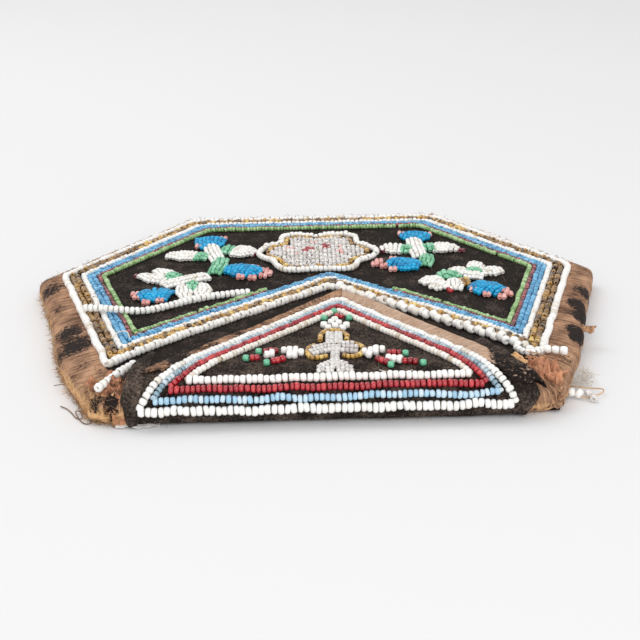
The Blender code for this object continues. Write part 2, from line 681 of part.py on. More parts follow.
def flap_row_outline(index, offset):
    """Corners of one flap row: its base is one step further up for each row, its slants lie side by side."""
    apex = (FLAP_APEX_X - FLAP_ROW_APEX_OFFSET, FLAP_ROW_APEX_RUN)
    foot = (FLAP_HALF - FLAP_ROW_END_INSET, FLAP_ROW_RUN)
    shoulder = (FLAP_HALF - FLAP_ROW_SHOULDER_INSET, FLAP_ROW_SHOULDER_RUN)
    left_foot, left_shoulder = [(-x, run) for x, run in (foot, shoulder)]
    lines = [
        line_through(foot, shoulder, FLAP_CENTRE), line_through(shoulder, apex, FLAP_CENTRE),
        line_through(apex, left_shoulder, FLAP_CENTRE), line_through(left_shoulder, left_foot, FLAP_CENTRE),
    ]
    lines = [moved_in(line, offset) for line in lines]
    base = (0.0, 1.0, FLAP_ROW_RUN + index * FLAP_ROW_STEP)
    points = [crossing(lines[-1], base), crossing(base, lines[0])]
    points += [crossing(a, b) for a, b in zip(lines, lines[1:])]
    corners = []
    for i, point in enumerate(points):
        if point[1] >= base[2] - 0.001:
            corners.append(point)
    if len(corners) < len(points):
        corners = [crossing(base, lines[2]), crossing(base, lines[1]), points[3]]
    return corners


def flap_rows():
    for i, ((name, diameter, colour, pitch), offset) in enumerate(zip(FLAP_ROWS, row_offsets(FLAP_ROWS))):
        path = cut_corners(flap_row_outline(i, offset), FLAP_CORNER_CUT, True)
        beaded_row(name, path, pitch, diameter, on_flap, colour)


def moved_in_loop(points, by):
    """A closed outline that runs anticlockwise, moved in by one distance."""
    return [(x + by * step.x, y + by * step.y) for (x, y), step in zip(points, side_steps(points, True))]


def pad(name, spine, place, colour):
    """Beads laid side by side along a spine: a ridge across each lane and a dip between two lanes."""
    stations = []
    for start, end in zip(spine, spine[1:]):
        length = math.hypot(end[0] - start[0], end[1] - start[1])
        stations += spread(start, end, max(1, round(length / PAD_LANE)))
    stations.append(spine[-1])
    steps = side_steps([(x, y) for x, y, _ in stations], False)
    sections = []
    for i, ((x, y, width), step) in enumerate(zip(stations, steps)):
        rise = PAD_RISE if i % 2 else PAD_RISE * PAD_DIP
        ring = []
        for side, lift in ((-0.5, 0.0), (-0.36, rise), (0.36, rise), (0.5, 0.0)):
            ring.append(place(x + side * width * step.x, y + side * width * step.y, BEAD_SEAT + lift))
        sections.append(ring)
    return loft(name, sections, colour)


def raised_shape(name, outline, place, colour, rise=PAD_RISE, slope=0.3):
    """A group of beads with a forked or lobed outline: upright at its foot, with a top set in a little."""
    top = moved_in_loop(outline, slope)
    sections = [[place(x, y, BEAD_SEAT) for x, y in outline], [place(x, y, BEAD_SEAT + rise) for x, y in top]]
    return loft(name, sections, colour)


def in_field(x, y, *rest):
    """A point of the drawn design, placed in the field that the body's sizes give."""
    deep = (BOTTOM_Y - NOTCH_APEX_Y) / (DRAWN_BOTTOM_Y - DRAWN_APEX_Y)
    wide = WAIST_HALF / DRAWN_WAIST_HALF
    return (x * wide, NOTCH_APEX_Y + (y - DRAWN_APEX_Y) * deep, *rest)


def anticlockwise(outline):
    area = sum(a[0] * b[1] - b[0] * a[1] for a, b in zip(outline, outline[1:] + outline[:1]))
    return list(outline) if area > 0 else list(reversed(outline))


def flower():
    outline = anticlockwise([in_field(*point) for point in FLOWER])
    beaded_row("flower_outline_white", outline, BEAD_PITCH, FLOWER_BEAD, on_front, "white")
    plain_row("flower_outline_amber", moved_in_loop(outline, FLOWER_AMBER_INSET), FLOWER_AMBER_WIDTH, "gold")
    raised_shape("flower_filling", moved_in_loop(outline, FLOWER_FILLING_INSET), on_front, "clear")


def motifs():
    for name, colour, spine in PADS:
        pad(name, [in_field(*point) for point in spine], on_front, colour)
    for name, colour, outline in SHAPES:
        raised_shape(name, anticlockwise([in_field(*point) for point in outline]), on_front, colour)
    for name, colour, spine in FLAP_PADS:
        pad(name, spine, on_flap, colour)
    for name, colour, outline in FLAP_SHAPES:
        raised_shape(name, anticlockwise(outline), on_flap, colour)


def smooth_route(path, step):
    """Points at about one step along a smooth curve through the path's own points."""
    ends = [Vector(path[0]) * 2 - Vector(path[1])] + [Vector(p) for p in path]
    ends.append(Vector(path[-1]) * 2 - Vector(path[-2]))
    route = []
    for p0, p1, p2, p3 in zip(ends, ends[1:], ends[2:], ends[3:]):
        count = max(1, round((p2 - p1).length / step))
        for i in range(count):
            t = i / count
            bend = 2 * p1 + (p2 - p0) * t + (2 * p0 - 5 * p1 + 4 * p2 - p3) * t * t
            bend += (3 * p1 - p0 - 3 * p2 + p3) * t ** 3
            route.append(bend / 2)
    route.append(Vector(path[-1]))
    return route


def strand(name, diameter, path):
    """A free strand: a round tube along a smooth curve through its path."""
    curve = bpy.data.curves.new(name, "CURVE")
    curve.dimensions = "3D"
    curve.bevel_depth = diameter * MM / 2
    curve.bevel_resolution = 2
    curve.use_fill_caps = True
    route = smooth_route(path, STRAND_STEP * diameter)
    spline = curve.splines.new("POLY")
    spline.points.add(len(route) - 1)
    for point, place in zip(spline.points, route):
        point.co = (*to_metres(place), 1.0)
    curve.materials.append(material("white"))
    obj = bpy.data.objects.new(name, curve)
    bpy.context.scene.collection.objects.link(obj)
    return obj


def strands():
    """The free strands, each placed from its own corner."""
    for corner, group in (((0.0, 0.0), STRANDS), (CORNERS[0], LEFT_CORNER_STRANDS), (CORNERS[-1], RIGHT_CORNER_STRANDS)):
        for name, diameter, path in group:
            strand(name, diameter, [(corner[0] + x, corner[1] + y, z) for x, y, z in path])


def centre_on_base():
    """Move every object so that the bag's middle, free strands apart, is over the origin and its base at z = 0."""
    meshes = [obj for obj in bpy.data.objects if obj.type == "MESH"]
    corners = [vertex.co for obj in meshes for vertex in obj.data.vertices]
    low = Vector([min(c[axis] for c in corners) for axis in range(3)])
    high = Vector([max(c[axis] for c in corners) for axis in range(3)])
    shift = Vector((-(low.x + high.x) / 2, -(low.y + high.y) / 2, -low.z))
    for obj in meshes:
        for vertex in obj.data.vertices:
            vertex.co += shift
    for curve in bpy.data.curves:
        for point in curve.splines[0].points:
            point.co.xyz += shift


def panels():
    flat_ply("back_velvet", BACK_VELVET_Z, VELVET, 0.0, "velvet")
    flat_ply("back_card", BACK_CARD_Z, CARD, CARD_INSET, "card")
    flat_ply("back_lining", BACK_LINING_Z, LINING, LINING_INSET, "lining")
    crowned_ply("front_lining", FRONT_LINING_Z, LINING, LINING_INSET, LINING_MOUTH_Y, "lining")
    crowned_ply("front_card", FRONT_CARD_Z, CARD, CARD_INSET, FRONT_MOUTH_Y, "card")
    crowned_ply("front_velvet", FRONT_VELVET_Z, VELVET, 0.0, FRONT_MOUTH_Y, "velvet")
    flap_ply("flap_velvet", 0.0, VELVET, 0.0, "velvet")
    flap_ply("flap_lining", -VELVET - PLY_GAP, LINING, FLAP_LINING_INSET, "lining")


def main():
    clear_scene()
    panels()
    edge_binding()
    mouth_binding()
    flap_binding()
    body_rows()
    flap_rows()
    flower()
    motifs()
    strands()
    centre_on_base()


main()
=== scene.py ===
"""Looks of the flat beaded velvet bag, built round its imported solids.

Sizes are in millimetres, in the frame of the part's own drawing: X across the bag, Y from the mouth fold to the
bottom edge, Z up. The function at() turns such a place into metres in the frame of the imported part.
"""
import math

import bpy
import numpy as np
from mathutils import Matrix, Vector, noise


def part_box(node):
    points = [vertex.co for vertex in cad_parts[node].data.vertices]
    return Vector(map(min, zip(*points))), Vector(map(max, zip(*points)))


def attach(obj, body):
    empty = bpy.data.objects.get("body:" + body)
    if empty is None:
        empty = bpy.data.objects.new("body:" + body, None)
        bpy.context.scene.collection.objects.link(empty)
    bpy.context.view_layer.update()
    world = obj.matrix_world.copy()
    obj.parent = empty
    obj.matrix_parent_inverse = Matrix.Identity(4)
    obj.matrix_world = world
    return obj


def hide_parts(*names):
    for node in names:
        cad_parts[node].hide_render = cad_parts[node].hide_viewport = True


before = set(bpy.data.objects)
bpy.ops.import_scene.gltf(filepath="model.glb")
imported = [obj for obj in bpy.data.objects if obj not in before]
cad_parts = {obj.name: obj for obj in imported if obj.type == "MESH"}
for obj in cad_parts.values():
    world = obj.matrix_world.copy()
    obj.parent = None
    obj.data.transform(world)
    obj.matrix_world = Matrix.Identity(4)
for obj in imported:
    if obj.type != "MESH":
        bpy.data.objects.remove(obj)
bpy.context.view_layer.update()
bpy.ops.object.select_all(action="DESELECT")
chance = np.random.default_rng(11)

MM = 0.001
# The edge binding's far side lies here in the drawing
BINDING_FAR_Y = 152.1
SHIFT_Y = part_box("edge_binding")[1].y / MM - BINDING_FAR_Y


def at(x, y, z):
    """A place in the drawing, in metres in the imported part's frame."""
    return Vector((x, y + SHIFT_Y, z)) * MM


# Seeded random numbers and smooth noise
def draw(low=0.0, high=1.0):
    return float(chance.uniform(low, high))


def gauss(spread, middle=0.0):
    return float(chance.normal(middle, spread))


def scatter(spread):
    return Vector([float(v) for v in chance.normal(0.0, spread, 3)])


def noise_at(x, y, z):
    return noise.noise(Vector((x, y, z)))


# Body outline and the drop of the front panel towards its bound edge, as in the part
MOUTH_Y = 3.0
MOUTH_HALF = 58.8
WAIST_Y = 91.5
WAIST_HALF = 86.0
BOTTOM_Y = 151.5
BOTTOM_HALF = 43.3
CROWN = ((0.0, 2.3), (7.5, 1.1), (20.0, 0.25), (34.0, 0.0))
FRONT_TOP_Z = 8.3
FRONT_MOUTH_Y = 7.6

FLAP_PROFILE = (
    (2.7, 0.6), (1.6, 0.35), (0.6, 1.0), (0.1, 2.4), (0.15, 4.4), (0.8, 6.4), (2.2, 8.4),
    (4.6, 10.2), (8.0, 11.3), (13.0, 11.6), (24.0, 11.1), (38.0, 10.5), (54.0, 10.05), (67.0, 9.95),
)
FLAP_HALF = 48.2
FLAP_SHOULDER = 15.0
FLAP_APEX_X = 6.2


# Camera of the photograph
def photo_camera():
    data = bpy.data.cameras.new("photo_camera")
    data.lens = 75.537
    data.sensor_width = 36.0
    data.clip_start = 0.01
    camera = bpy.data.objects.new("photo_camera", data)
    bpy.context.scene.collection.objects.link(camera)
    forward = Vector((0.022974401, 0.926899173, -0.374606593))
    right = Vector((0.999447687, -0.030293621, -0.013660785))
    up = Vector((0.024010360, 0.374085845, 0.927083213))
    turn = Matrix((right, up, -forward)).transposed()
    camera.matrix_world = Matrix.Translation(at(-9.134538, -301.477932, 149.842637)) @ turn.to_4x4()
    bpy.context.scene.camera = camera


# Lines of the plan
def line_through(start, end, inner_side):
    direction = (Vector(end) - Vector(start)).normalized()
    normal = Vector((-direction.y, direction.x))
    distance = normal.dot(Vector(start))
    if normal.dot(Vector(inner_side)) < distance:
        normal = -normal
        distance = -distance
    return (normal.x, normal.y, distance)


def moved_in(line, by):
    return (line[0], line[1], line[2] + by)


def crossing(first, second):
    determinant = first[0] * second[1] - first[1] * second[0]
    x = (first[2] * second[1] - first[1] * second[2]) / determinant
    y = (first[0] * second[2] - first[2] * second[0]) / determinant
    return (x, y)


CENTRE = (0.0, (MOUTH_Y + BOTTOM_Y) / 2)
CORNERS = (
    (-MOUTH_HALF, MOUTH_Y), (-WAIST_HALF, WAIST_Y), (-BOTTOM_HALF, BOTTOM_Y),
    (BOTTOM_HALF, BOTTOM_Y), (WAIST_HALF, WAIST_Y), (MOUTH_HALF, MOUTH_Y),
)
SIDES = tuple(line_through(CORNERS[i], CORNERS[i + 1], CENTRE) for i in range(5))


def edge_distance(x, y):
    return min(side[0] * x + side[1] * y - side[2] for side in SIDES)


def crown_drop(distance):
    if distance <= 0.0:
        return CROWN[0][1]
    for (near, near_drop), (far, far_drop) in zip(CROWN, CROWN[1:]):
        if distance <= far:
            return near_drop + (distance - near) / (far - near) * (far_drop - near_drop)
    return CROWN[-1][1]


def front_height(x, y):
    return FRONT_TOP_Z - crown_drop(edge_distance(x, y))


def on_front(x, y, lift):
    return (x, y, front_height(x, y) + lift)


def half_width(y):
    """Half the body's width at one distance from the mouth."""
    if y < WAIST_Y:
        return MOUTH_HALF + (y - MOUTH_Y) / (WAIST_Y - MOUTH_Y) * (WAIST_HALF - MOUTH_HALF)
    return WAIST_HALF + (y - WAIST_Y) / (BOTTOM_Y - WAIST_Y) * (BOTTOM_HALF - WAIST_HALF)


# The flap's surface
def flap_stations():
    """Distance along the profile and the normal at each of its points."""
    runs = [0.0]
    legs = []
    for (y0, z0), (y1, z1) in zip(FLAP_PROFILE, FLAP_PROFILE[1:]):
        length = math.hypot(y1 - y0, z1 - z0)
        runs.append(runs[-1] + length)
        legs.append(Vector((-(z1 - z0) / length, (y1 - y0) / length)))
    return runs, [legs[0]] + [(a + b).normalized() for a, b in zip(legs, legs[1:])] + [legs[-1]]


FLAP_RUNS, FLAP_NORMALS = flap_stations()
FLAP_LENGTH = FLAP_RUNS[-1]


def on_flap(x, run, lift):
    k = 0
    while k < len(FLAP_RUNS) - 2 and FLAP_RUNS[k + 1] < run:
        k += 1
    share = (run - FLAP_RUNS[k]) / (FLAP_RUNS[k + 1] - FLAP_RUNS[k])
    y = FLAP_PROFILE[k][0] + share * (FLAP_PROFILE[k + 1][0] - FLAP_PROFILE[k][0])
    z = FLAP_PROFILE[k][1] + share * (FLAP_PROFILE[k + 1][1] - FLAP_PROFILE[k][1])
    normal = FLAP_NORMALS[k].lerp(FLAP_NORMALS[k + 1], min(max(share, 0.0), 1.0))
    return (x, y + lift * normal.x, z + lift * normal.y)


FLAP_CENTRE = (0.0, FLAP_SHOULDER)
FLAP_APEX = (FLAP_APEX_X, FLAP_LENGTH)
LEFT_SLANT = line_through((-FLAP_HALF, FLAP_SHOULDER), FLAP_APEX, FLAP_CENTRE)
RIGHT_SLANT = line_through(FLAP_APEX, (FLAP_HALF, FLAP_SHOULDER), FLAP_CENTRE)


def x_on(line, run):
    return (line[2] - line[1] * run) / line[0]


def flap_edges(inset, run):
    left = max(inset - FLAP_HALF, x_on(moved_in(LEFT_SLANT, inset), run))
    right = min(FLAP_HALF - inset, x_on(moved_in(RIGHT_SLANT, inset), run))
    return left, right


# Materials
def set_inputs(node, **values):
    """Input names are written with _ for a space."""
    for name, value in values.items():
        node.inputs[name.replace("_", " ")].default_value = value


def new_material(name, **values):
    made = bpy.data.materials.new(name)
    made.use_nodes = True
    nodes = made.node_tree.nodes
    set_inputs(nodes["Principled BSDF"], **values)
    return made, nodes, made.node_tree.links, nodes["Principled BSDF"]


def ramp_node(nodes, links, source, stops):
    """A colour ramp's output."""
    ramp = nodes.new("ShaderNodeValToRGB")
    elements = ramp.color_ramp.elements
    while len(elements) < len(stops):
        elements.new(0.5)
    for element, (position, colour) in zip(elements, stops):
        element.position = position
        element.color = (*colour, 1.0)
    links.new(source, ramp.inputs["Fac"])
    return ramp.outputs["Color"]


def noise_node(nodes, links, scale, detail, source=None, distortion=0.0):
    texture = nodes.new("ShaderNodeTexNoise")
    set_inputs(texture, Scale=scale, Detail=detail, Distortion=distortion)
    links.new(source or nodes.new("ShaderNodeTexCoord").outputs["Object"], texture.inputs["Vector"])
    return texture.outputs["Fac"]


def math_node(nodes, links, operation, *inputs):
    """Each input is an output of another node, or a number."""
    node = nodes.new("ShaderNodeMath")
    node.operation = operation
    for k, value in enumerate(inputs):
        if isinstance(value, float):
            node.inputs[k].default_value = value
        else:
            links.new(value, node.inputs[k])
    return node.outputs[0]


def mix_node(nodes, links, share, first, colour):
    mix = nodes.new("ShaderNodeMixRGB")
    mix.inputs["Color2"].default_value = (*colour, 1.0)
    links.new(share, mix.inputs["Fac"])
    links.new(first, mix.inputs["Color1"])
    return mix.outputs["Color"]


def finish_surface(nodes, links, shader, colour, height, strength, distance):
    """Colour and bump of a material."""
    links.new(colour, shader.inputs["Base Color"])
    bump = nodes.new("ShaderNodeBump")
    set_inputs(bump, Strength=strength, Distance=distance)
    links.new(height, bump.inputs["Height"])
    links.new(bump.outputs["Normal"], shader.inputs["Normal"])


def attribute_node(nodes, name):
    attribute = nodes.new("ShaderNodeAttribute")
    attribute.attribute_name = name
    return attribute.outputs["Fac"]


BEAD_SLOTS = {}


def bead_material(name, slot, stops, roughness, coat, transmission=0.0):
    """Glass beads: each bead's own tone picks its colour from the stops, and small waves catch the light."""
    made, nodes, links, shader = new_material(name, Roughness=roughness, Coat_Weight=coat, Coat_Roughness=0.08,
                                              Transmission_Weight=transmission, IOR=1.5)
    colour = ramp_node(nodes, links, attribute_node(nodes, "tone"), stops)
    finish_surface(nodes, links, shader, colour, noise_node(nodes, links, 900.0, 2.0), 0.35, 0.0002)
    BEAD_SLOTS[name] = slot
    return made


def velvet_material(name, dark, lint, amount):
    """Worn pile: dark tufts with a brown dust of lint on them."""
    made, nodes, links, shader = new_material(name, Roughness=0.95, Specular_IOR_Level=0.15, Sheen_Weight=0.03,
                                              Sheen_Roughness=0.5, Sheen_Tint=(0.5, 0.4, 0.32, 1.0))
    tufts = noise_node(nodes, links, 1500.0, 4.0, distortion=0.6)
    patches = noise_node(nodes, links, 160.0, 4.0)
    mixed = math_node(nodes, links, "MULTIPLY", tufts, patches)
    colour = ramp_node(nodes, links, mixed, [(0.0, dark), (0.33 - amount, dark), (0.50, lint)])
    finish_surface(nodes, links, shader, colour, tufts, 0.9, 0.0008)
    return made


def silk_material(name, base, light, fray, bare):
    """Ribbed ribbon, faded in streaks: wear shows the pile under it, fray turns it to pale loose thread."""
    made, nodes, links, shader = new_material(name, Roughness=0.7, Specular_IOR_Level=0.12)
    stretched = nodes.new("ShaderNodeMapping")
    set_inputs(stretched, Scale=(1.5, 0.16, 1.0))
    links.new(nodes.new("ShaderNodeUVMap").outputs["UV"], stretched.inputs["Vector"])
    streaks = noise_node(nodes, links, 1.0, 5.0, stretched.outputs["Vector"], 0.6)
    blotches = math_node(nodes, links, "MULTIPLY", noise_node(nodes, links, 190.0, 4.0), 0.45)
    shade = math_node(nodes, links, "MULTIPLY_ADD", streaks, 0.55, blotches)
    threads = noise_node(nodes, links, 1100.0, 3.0)
    colour = ramp_node(nodes, links, shade, [(0.38, base), (0.60, light)])
    # Where an attribute plus some noise passes a threshold: attribute, share of noise, threshold's ends, colour
    for attribute, share, low, high, tint in (("fray", 0.8, 0.66, 0.95, fray), ("wear", 0.7, 0.66, 0.82, bare)):
        total = math_node(nodes, links, "MULTIPLY_ADD", threads, share, attribute_node(nodes, attribute))
        mask = ramp_node(nodes, links, total, [(low, (0.0, 0.0, 0.0)), (high, (1.0, 1.0, 1.0))])
        colour = mix_node(nodes, links, mask, colour, tint)
    finish_surface(nodes, links, shader, colour, shade, 0.8, 0.0007)
    return made


def cloth_material(name, base, light, scale):
    """Plain woven cotton, card or thread: a fine crossed grain with stains."""
    made, nodes, links, shader = new_material(name, Roughness=0.9)
    colour = ramp_node(nodes, links, noise_node(nodes, links, scale, 5.0), [(0.3, base), (0.7, light)])
    finish_surface(nodes, links, shader, colour, noise_node(nodes, links, 2200.0, 2.0), 0.4, 0.0002)
    return made


# Bead materials: name, slot, stops from a dull bead to a bright one, roughness, coat, transmission
WHITE = bead_material("white_bead", "bead_white", [
    (0.0, (0.72, 0.65, 0.55)), (0.12, (0.88, 0.85, 0.80)), (1.0, (0.94, 0.93, 0.91))], 0.30, 0.45)
CREAM = bead_material("cream_bead", "bead_white", [
    (0.0, (0.62, 0.50, 0.38)), (0.2, (0.85, 0.79, 0.70)), (1.0, (0.93, 0.90, 0.85))], 0.30, 0.4)
GOLD = bead_material("amber_bead", "bead_gold", [
    (0.0, (0.085, 0.042, 0.014)), (0.45, (0.36, 0.18, 0.035)), (0.8, (0.70, 0.39, 0.07)), (1.0, (0.98, 0.70, 0.20))],
    0.12, 1.0, 0.15)
BLUE = bead_material("blue_bead", "bead_blue", [
    (0.0, (0.05, 0.20, 0.38)), (0.4, (0.09, 0.36, 0.60)), (1.0, (0.22, 0.54, 0.80))], 0.22, 0.6)
BRIGHT_BLUE = bead_material("bright_blue_bead", "bead_flower_blue", [
    (0.0, (0.001, 0.21, 0.44)), (0.5, (0.002, 0.33, 0.62)), (1.0, (0.006, 0.44, 0.76))], 0.40, 0.08)
PALE_BLUE = bead_material("pale_blue_bead", "bead_pale_blue", [
    (0.0, (0.25, 0.45, 0.62)), (0.5, (0.43, 0.70, 0.90)), (1.0, (0.76, 0.88, 0.95))], 0.10, 1.0, 0.12)
GREY_BLUE = bead_material("grey_blue_bead", "bead_pale_blue", [
    (0.0, (0.24, 0.38, 0.46)), (0.5, (0.46, 0.64, 0.74)), (1.0, (0.80, 0.88, 0.92))], 0.10, 1.0, 0.2)
RED = bead_material("dark_red_bead", "bead_red", [
    (0.0, (0.09, 0.015, 0.02)), (0.6, (0.24, 0.04, 0.05)), (1.0, (0.44, 0.11, 0.12))], 0.18, 0.8)
RUBY = bead_material("ruby_bead", "bead_red", [
    (0.0, (0.22, 0.004, 0.012)), (0.5, (0.42, 0.012, 0.022)), (1.0, (0.60, 0.04, 0.045))], 0.10, 0.7)
GREEN = bead_material("pale_green_bead", "bead_green", [
    (0.0, (0.18, 0.34, 0.11)), (0.5, (0.33, 0.53, 0.22)), (1.0, (0.50, 0.69, 0.36))], 0.28, 0.4)
LEAF_GREEN = bead_material("leaf_green_bead", "bead_leaf_green", [
    (0.0, (0.10, 0.37, 0.19)), (0.5, (0.19, 0.54, 0.32)), (1.0, (0.34, 0.68, 0.47))], 0.28, 0.4)
MINT = bead_material("mint_bead", "bead_leaf_green", [
    (0.0, (0.10, 0.42, 0.24)), (1.0, (0.18, 0.58, 0.36))], 0.22, 0.6)
PINK = bead_material("pink_bead", "bead_flower_blue", [
    (0.0, (0.60, 0.24, 0.21)), (0.5, (0.80, 0.37, 0.33)), (1.0, (0.88, 0.52, 0.48))], 0.30, 0.4)
CLEAR = bead_material("clear_bead", "bead_clear", [
    (0.0, (0.50, 0.45, 0.41)), (0.5, (0.80, 0.75, 0.71)), (1.0, (0.96, 0.94, 0.92))], 0.07, 1.0, 0.2)
# Cloths: the dark of the pile, its lint and how much of it; the silk's shades, its fray and the pile under it
VELVET = velvet_material("velvet_pile", (0.0150, 0.0116, 0.0102), (0.130, 0.096, 0.078), 0.07)
FLAP_VELVET = velvet_material("linty_velvet_pile", (0.0190, 0.0140, 0.0120), (0.210, 0.155, 0.122), 0.12)
SILK = silk_material("worn_silk", (0.112, 0.053, 0.031), (0.540, 0.310, 0.185), (0.70, 0.42, 0.21),
                     (0.020, 0.013, 0.011))
FLAP_SILK = silk_material("smooth_silk", (0.400, 0.245, 0.165), (0.600, 0.425, 0.310), (0.66, 0.42, 0.22),
                          (0.012, 0.008, 0.007))
RUSSET_SILK = silk_material("torn_silk", (0.200, 0.075, 0.042), (0.640, 0.300, 0.170), (0.72, 0.44, 0.24),
                            (0.012, 0.008, 0.007))
COTTON = cloth_material("lining_cotton", (0.40, 0.33, 0.25), (0.62, 0.55, 0.45), 60.0)
PALE_COTTON = cloth_material("pale_cotton", (0.70, 0.68, 0.64), (0.88, 0.87, 0.85), 200.0)
CARD = cloth_material("stiff_card", (0.34, 0.26, 0.17), (0.48, 0.38, 0.26), 90.0)
THREAD = cloth_material("sewing_thread", (0.66, 0.58, 0.47), (0.86, 0.80, 0.70), 300.0)
DARK_THREAD = cloth_material("dark_thread", (0.06, 0.04, 0.03), (0.16, 0.10, 0.07), 300.0)
TAN_FIBRE = cloth_material("tan_fibre", (0.34, 0.18, 0.08), (0.74, 0.46, 0.22), 300.0)
BROWN_FIBRE = cloth_material("brown_fibre", (0.10, 0.055, 0.038), (0.34, 0.21, 0.14), 400.0)
LINT = cloth_material("lint_fibre", (0.06, 0.042, 0.033), (0.30, 0.22, 0.17), 500.0)


def keep(piece, slot, *nodes):
    """Attach a finished piece to the root body and hide the imported nodes that it stands for. The slot is not used.
    """
    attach(piece, "root")
    if nodes:
        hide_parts(*nodes)


def mesh_piece(name, points, faces, material, tones=None):
    """An object from points in millimetres in the drawing's frame."""
    mesh = bpy.data.meshes.new(name)
    placed = (np.asarray(points, dtype=float) + np.array((0.0, SHIFT_Y, 0.0))) * MM
    mesh.from_pydata(placed.tolist(), [], faces)
    mesh.materials.append(material)
    if tones is not None:
        mesh.attributes.new("tone", "FLOAT", "POINT").data.foreach_set("value", np.asarray(tones, dtype=np.float32))
    mesh.polygons.foreach_set("use_smooth", [True] * len(mesh.polygons))
    obj = bpy.data.objects.new(name, mesh)
    bpy.context.scene.collection.objects.link(obj)
    return obj


# One bead, modelled once with a real hole, and copied along every row: radii of a ring that is one unit wide
RING_RADIUS = 0.305
TUBE_RADIUS = 0.195


def model_bead(around, section):
    """A ring with a fine hole, one unit wide, drawn out along its hole to one unit long."""
    bpy.ops.object.select_all(action="DESELECT")
    bpy.ops.mesh.primitive_torus_add(major_segments=around, minor_segments=section, major_radius=RING_RADIUS,
                                     minor_radius=TUBE_RADIUS)
    bead = bpy.context.object
    bpy.ops.object.mode_set(mode="EDIT")
    bpy.ops.mesh.select_all(action="SELECT")
    bpy.ops.transform.resize(value=(1.0, 1.0, 0.5 / TUBE_RADIUS))
    bpy.ops.mesh.normals_make_consistent(inside=False)
    bpy.ops.object.mode_set(mode="OBJECT")
    bead.rotation_euler = (0.0, math.pi / 2, 0.0)
    bpy.ops.object.transform_apply(location=False, rotation=True, scale=False)
    points = np.array([vertex.co for vertex in bead.data.vertices])
    faces = [tuple(polygon.vertices) for polygon in bead.data.polygons]
    mesh = bead.data
    bpy.data.objects.remove(bead)
    bpy.data.meshes.remove(mesh)
    return points, faces


BEAD = model_bead(10, 7)
SMALL_BEAD = model_bead(8, 6)


def bead_group(name, beads, material, shape=None):
    """Copies of the modelled bead as one piece. A bead is (centre, along, up, length, width, tone)."""
    points, faces = shape or BEAD
    count = len(points)
    all_points = []
    all_faces = []
    tones = []
    for i, (centre, along, up, length, width, tone) in enumerate(beads):
        x_axis = np.array(Vector(along).normalized())
        side = np.cross(np.array(up), x_axis)
        side /= max(np.linalg.norm(side), 1e-9)
        z_axis = np.cross(x_axis, side)
        basis = np.stack((x_axis * length, side * width, z_axis * width))
        all_points.append(points @ basis + np.array(centre))
        all_faces += [tuple(v + i * count for v in face) for face in faces]
        tones += [tone] * count
    return mesh_piece(name, np.concatenate(all_points), all_faces, material, tones)


def lay_beads(name, beads, material, *nodes, shape=None, slot=None):
    """A finished piece of beads; it passes on its material's own slot unless another is given."""
    keep(bead_group(name, beads, material, shape), slot or BEAD_SLOTS[material.name], *nodes)


def densify(points, step=0.4, closed=False):
    """Points in the plan at a fine step along straight runs."""
    made = []
    pairs = list(zip(points, points[1:]))
    if closed:
        pairs.append((points[-1], points[0]))
    for a, b in pairs:
        count = max(1, math.ceil(math.dist(a, b) / step))
        made += [tuple(p + (q - p) * i / count for p, q in zip(a, b)) for i in range(count)]
    made.append(tuple(points[0] if closed else points[-1]))
    return made


def rounded(points, radius, closed):
    """The plan's corners rounded by a quadratic curve."""
    made = []
    count = len(points)
    for i, point in enumerate(points):
        if not closed and i in (0, count - 1):
            made.append(tuple(point))
            continue
        here = Vector(point)
        back = Vector(points[i - 1]) - here
        on = Vector(points[(i + 1) % count]) - here
        near = here + back.normalized() * min(radius, back.length / 2)
        far = here + on.normalized() * min(radius, on.length / 2)
        for k in range(5):
            t = k / 4
            made.append(tuple((1 - t) ** 2 * near + 2 * t * (1 - t) * here + t ** 2 * far))
    return made


def row_beads(plan, place, width, pitch, lift, wobble=0.12, seed=0.0, swell=0.06, missing=0.0, tilt=0.10,
              zigzag=0.0, tone_low=0.0, tone_high=1.0, length_share=1.06, keep_bead=None):
    """Beads strung along a dense plan path and laid on a surface.

    They lie at a share of their width above it, wander off the path by the wobble, which the seed varies, differ in
    width by the swell, and lean by the tilt. A share of them is missing, and keep_bead can leave out more.
    """
    plan_points = np.array(plan)
    steps = np.linalg.norm(np.diff(plan_points, axis=0), axis=1)
    runs = np.concatenate(([0.0], np.cumsum(steps)))
    total = runs[-1]
    beads = []
    travel = pitch / 2
    index = 0
    while travel < total - pitch * 0.3:
        length = pitch * (1.0 + draw(-0.12, 0.12))
        x, y = (float(np.interp(travel, runs, plan_points[:, axis])) for axis in range(2))
        x1, y1 = (float(np.interp(min(travel + 0.4, total), runs, plan_points[:, axis])) for axis in range(2))
        x0, y0 = (float(np.interp(max(travel - 0.4, 0.0), runs, plan_points[:, axis])) for axis in range(2))
        direction = Vector((x1 - x0, y1 - y0)).normalized()
        side = Vector((-direction.y, direction.x))
        sway = wobble * noise_at(travel * 0.16, seed, 0.0) * 2.2
        sway += zigzag * (1 if index % 2 else -1)
        size = width * (1.0 + gauss(swell))
        size = min(max(size, width * 0.8), width * 1.2)
        centre = Vector(place(x + side.x * sway, y + side.y * sway, lift * size))
        ahead = Vector(place(x1, y1, lift * size))
        behind = Vector(place(x0, y0, lift * size))
        above = Vector(place(x, y, lift * size + 1.0)) - Vector(place(x, y, lift * size))
        along = (ahead - behind).normalized()
        along += scatter(tilt)
        tone = draw(tone_low, tone_high)
        if draw() >= missing and (keep_bead is None or keep_bead(x, y)):
            beads.append((tuple(centre), tuple(along), tuple(above), length * length_share, size, tone))
        travel += length
        index += 1
    return beads


# Body rows, from the edge inwards: how far the outer row lies in from each side, and the V along the flap
OUTER_INSETS = (7.2, 7.2, 9.8, 7.2, 7.2)
FIELD_CENTRE = (0.0, 112.4)
NOTCH_FOOT_Y = 21.7
NOTCH_APEX = (3.2, 73.3)


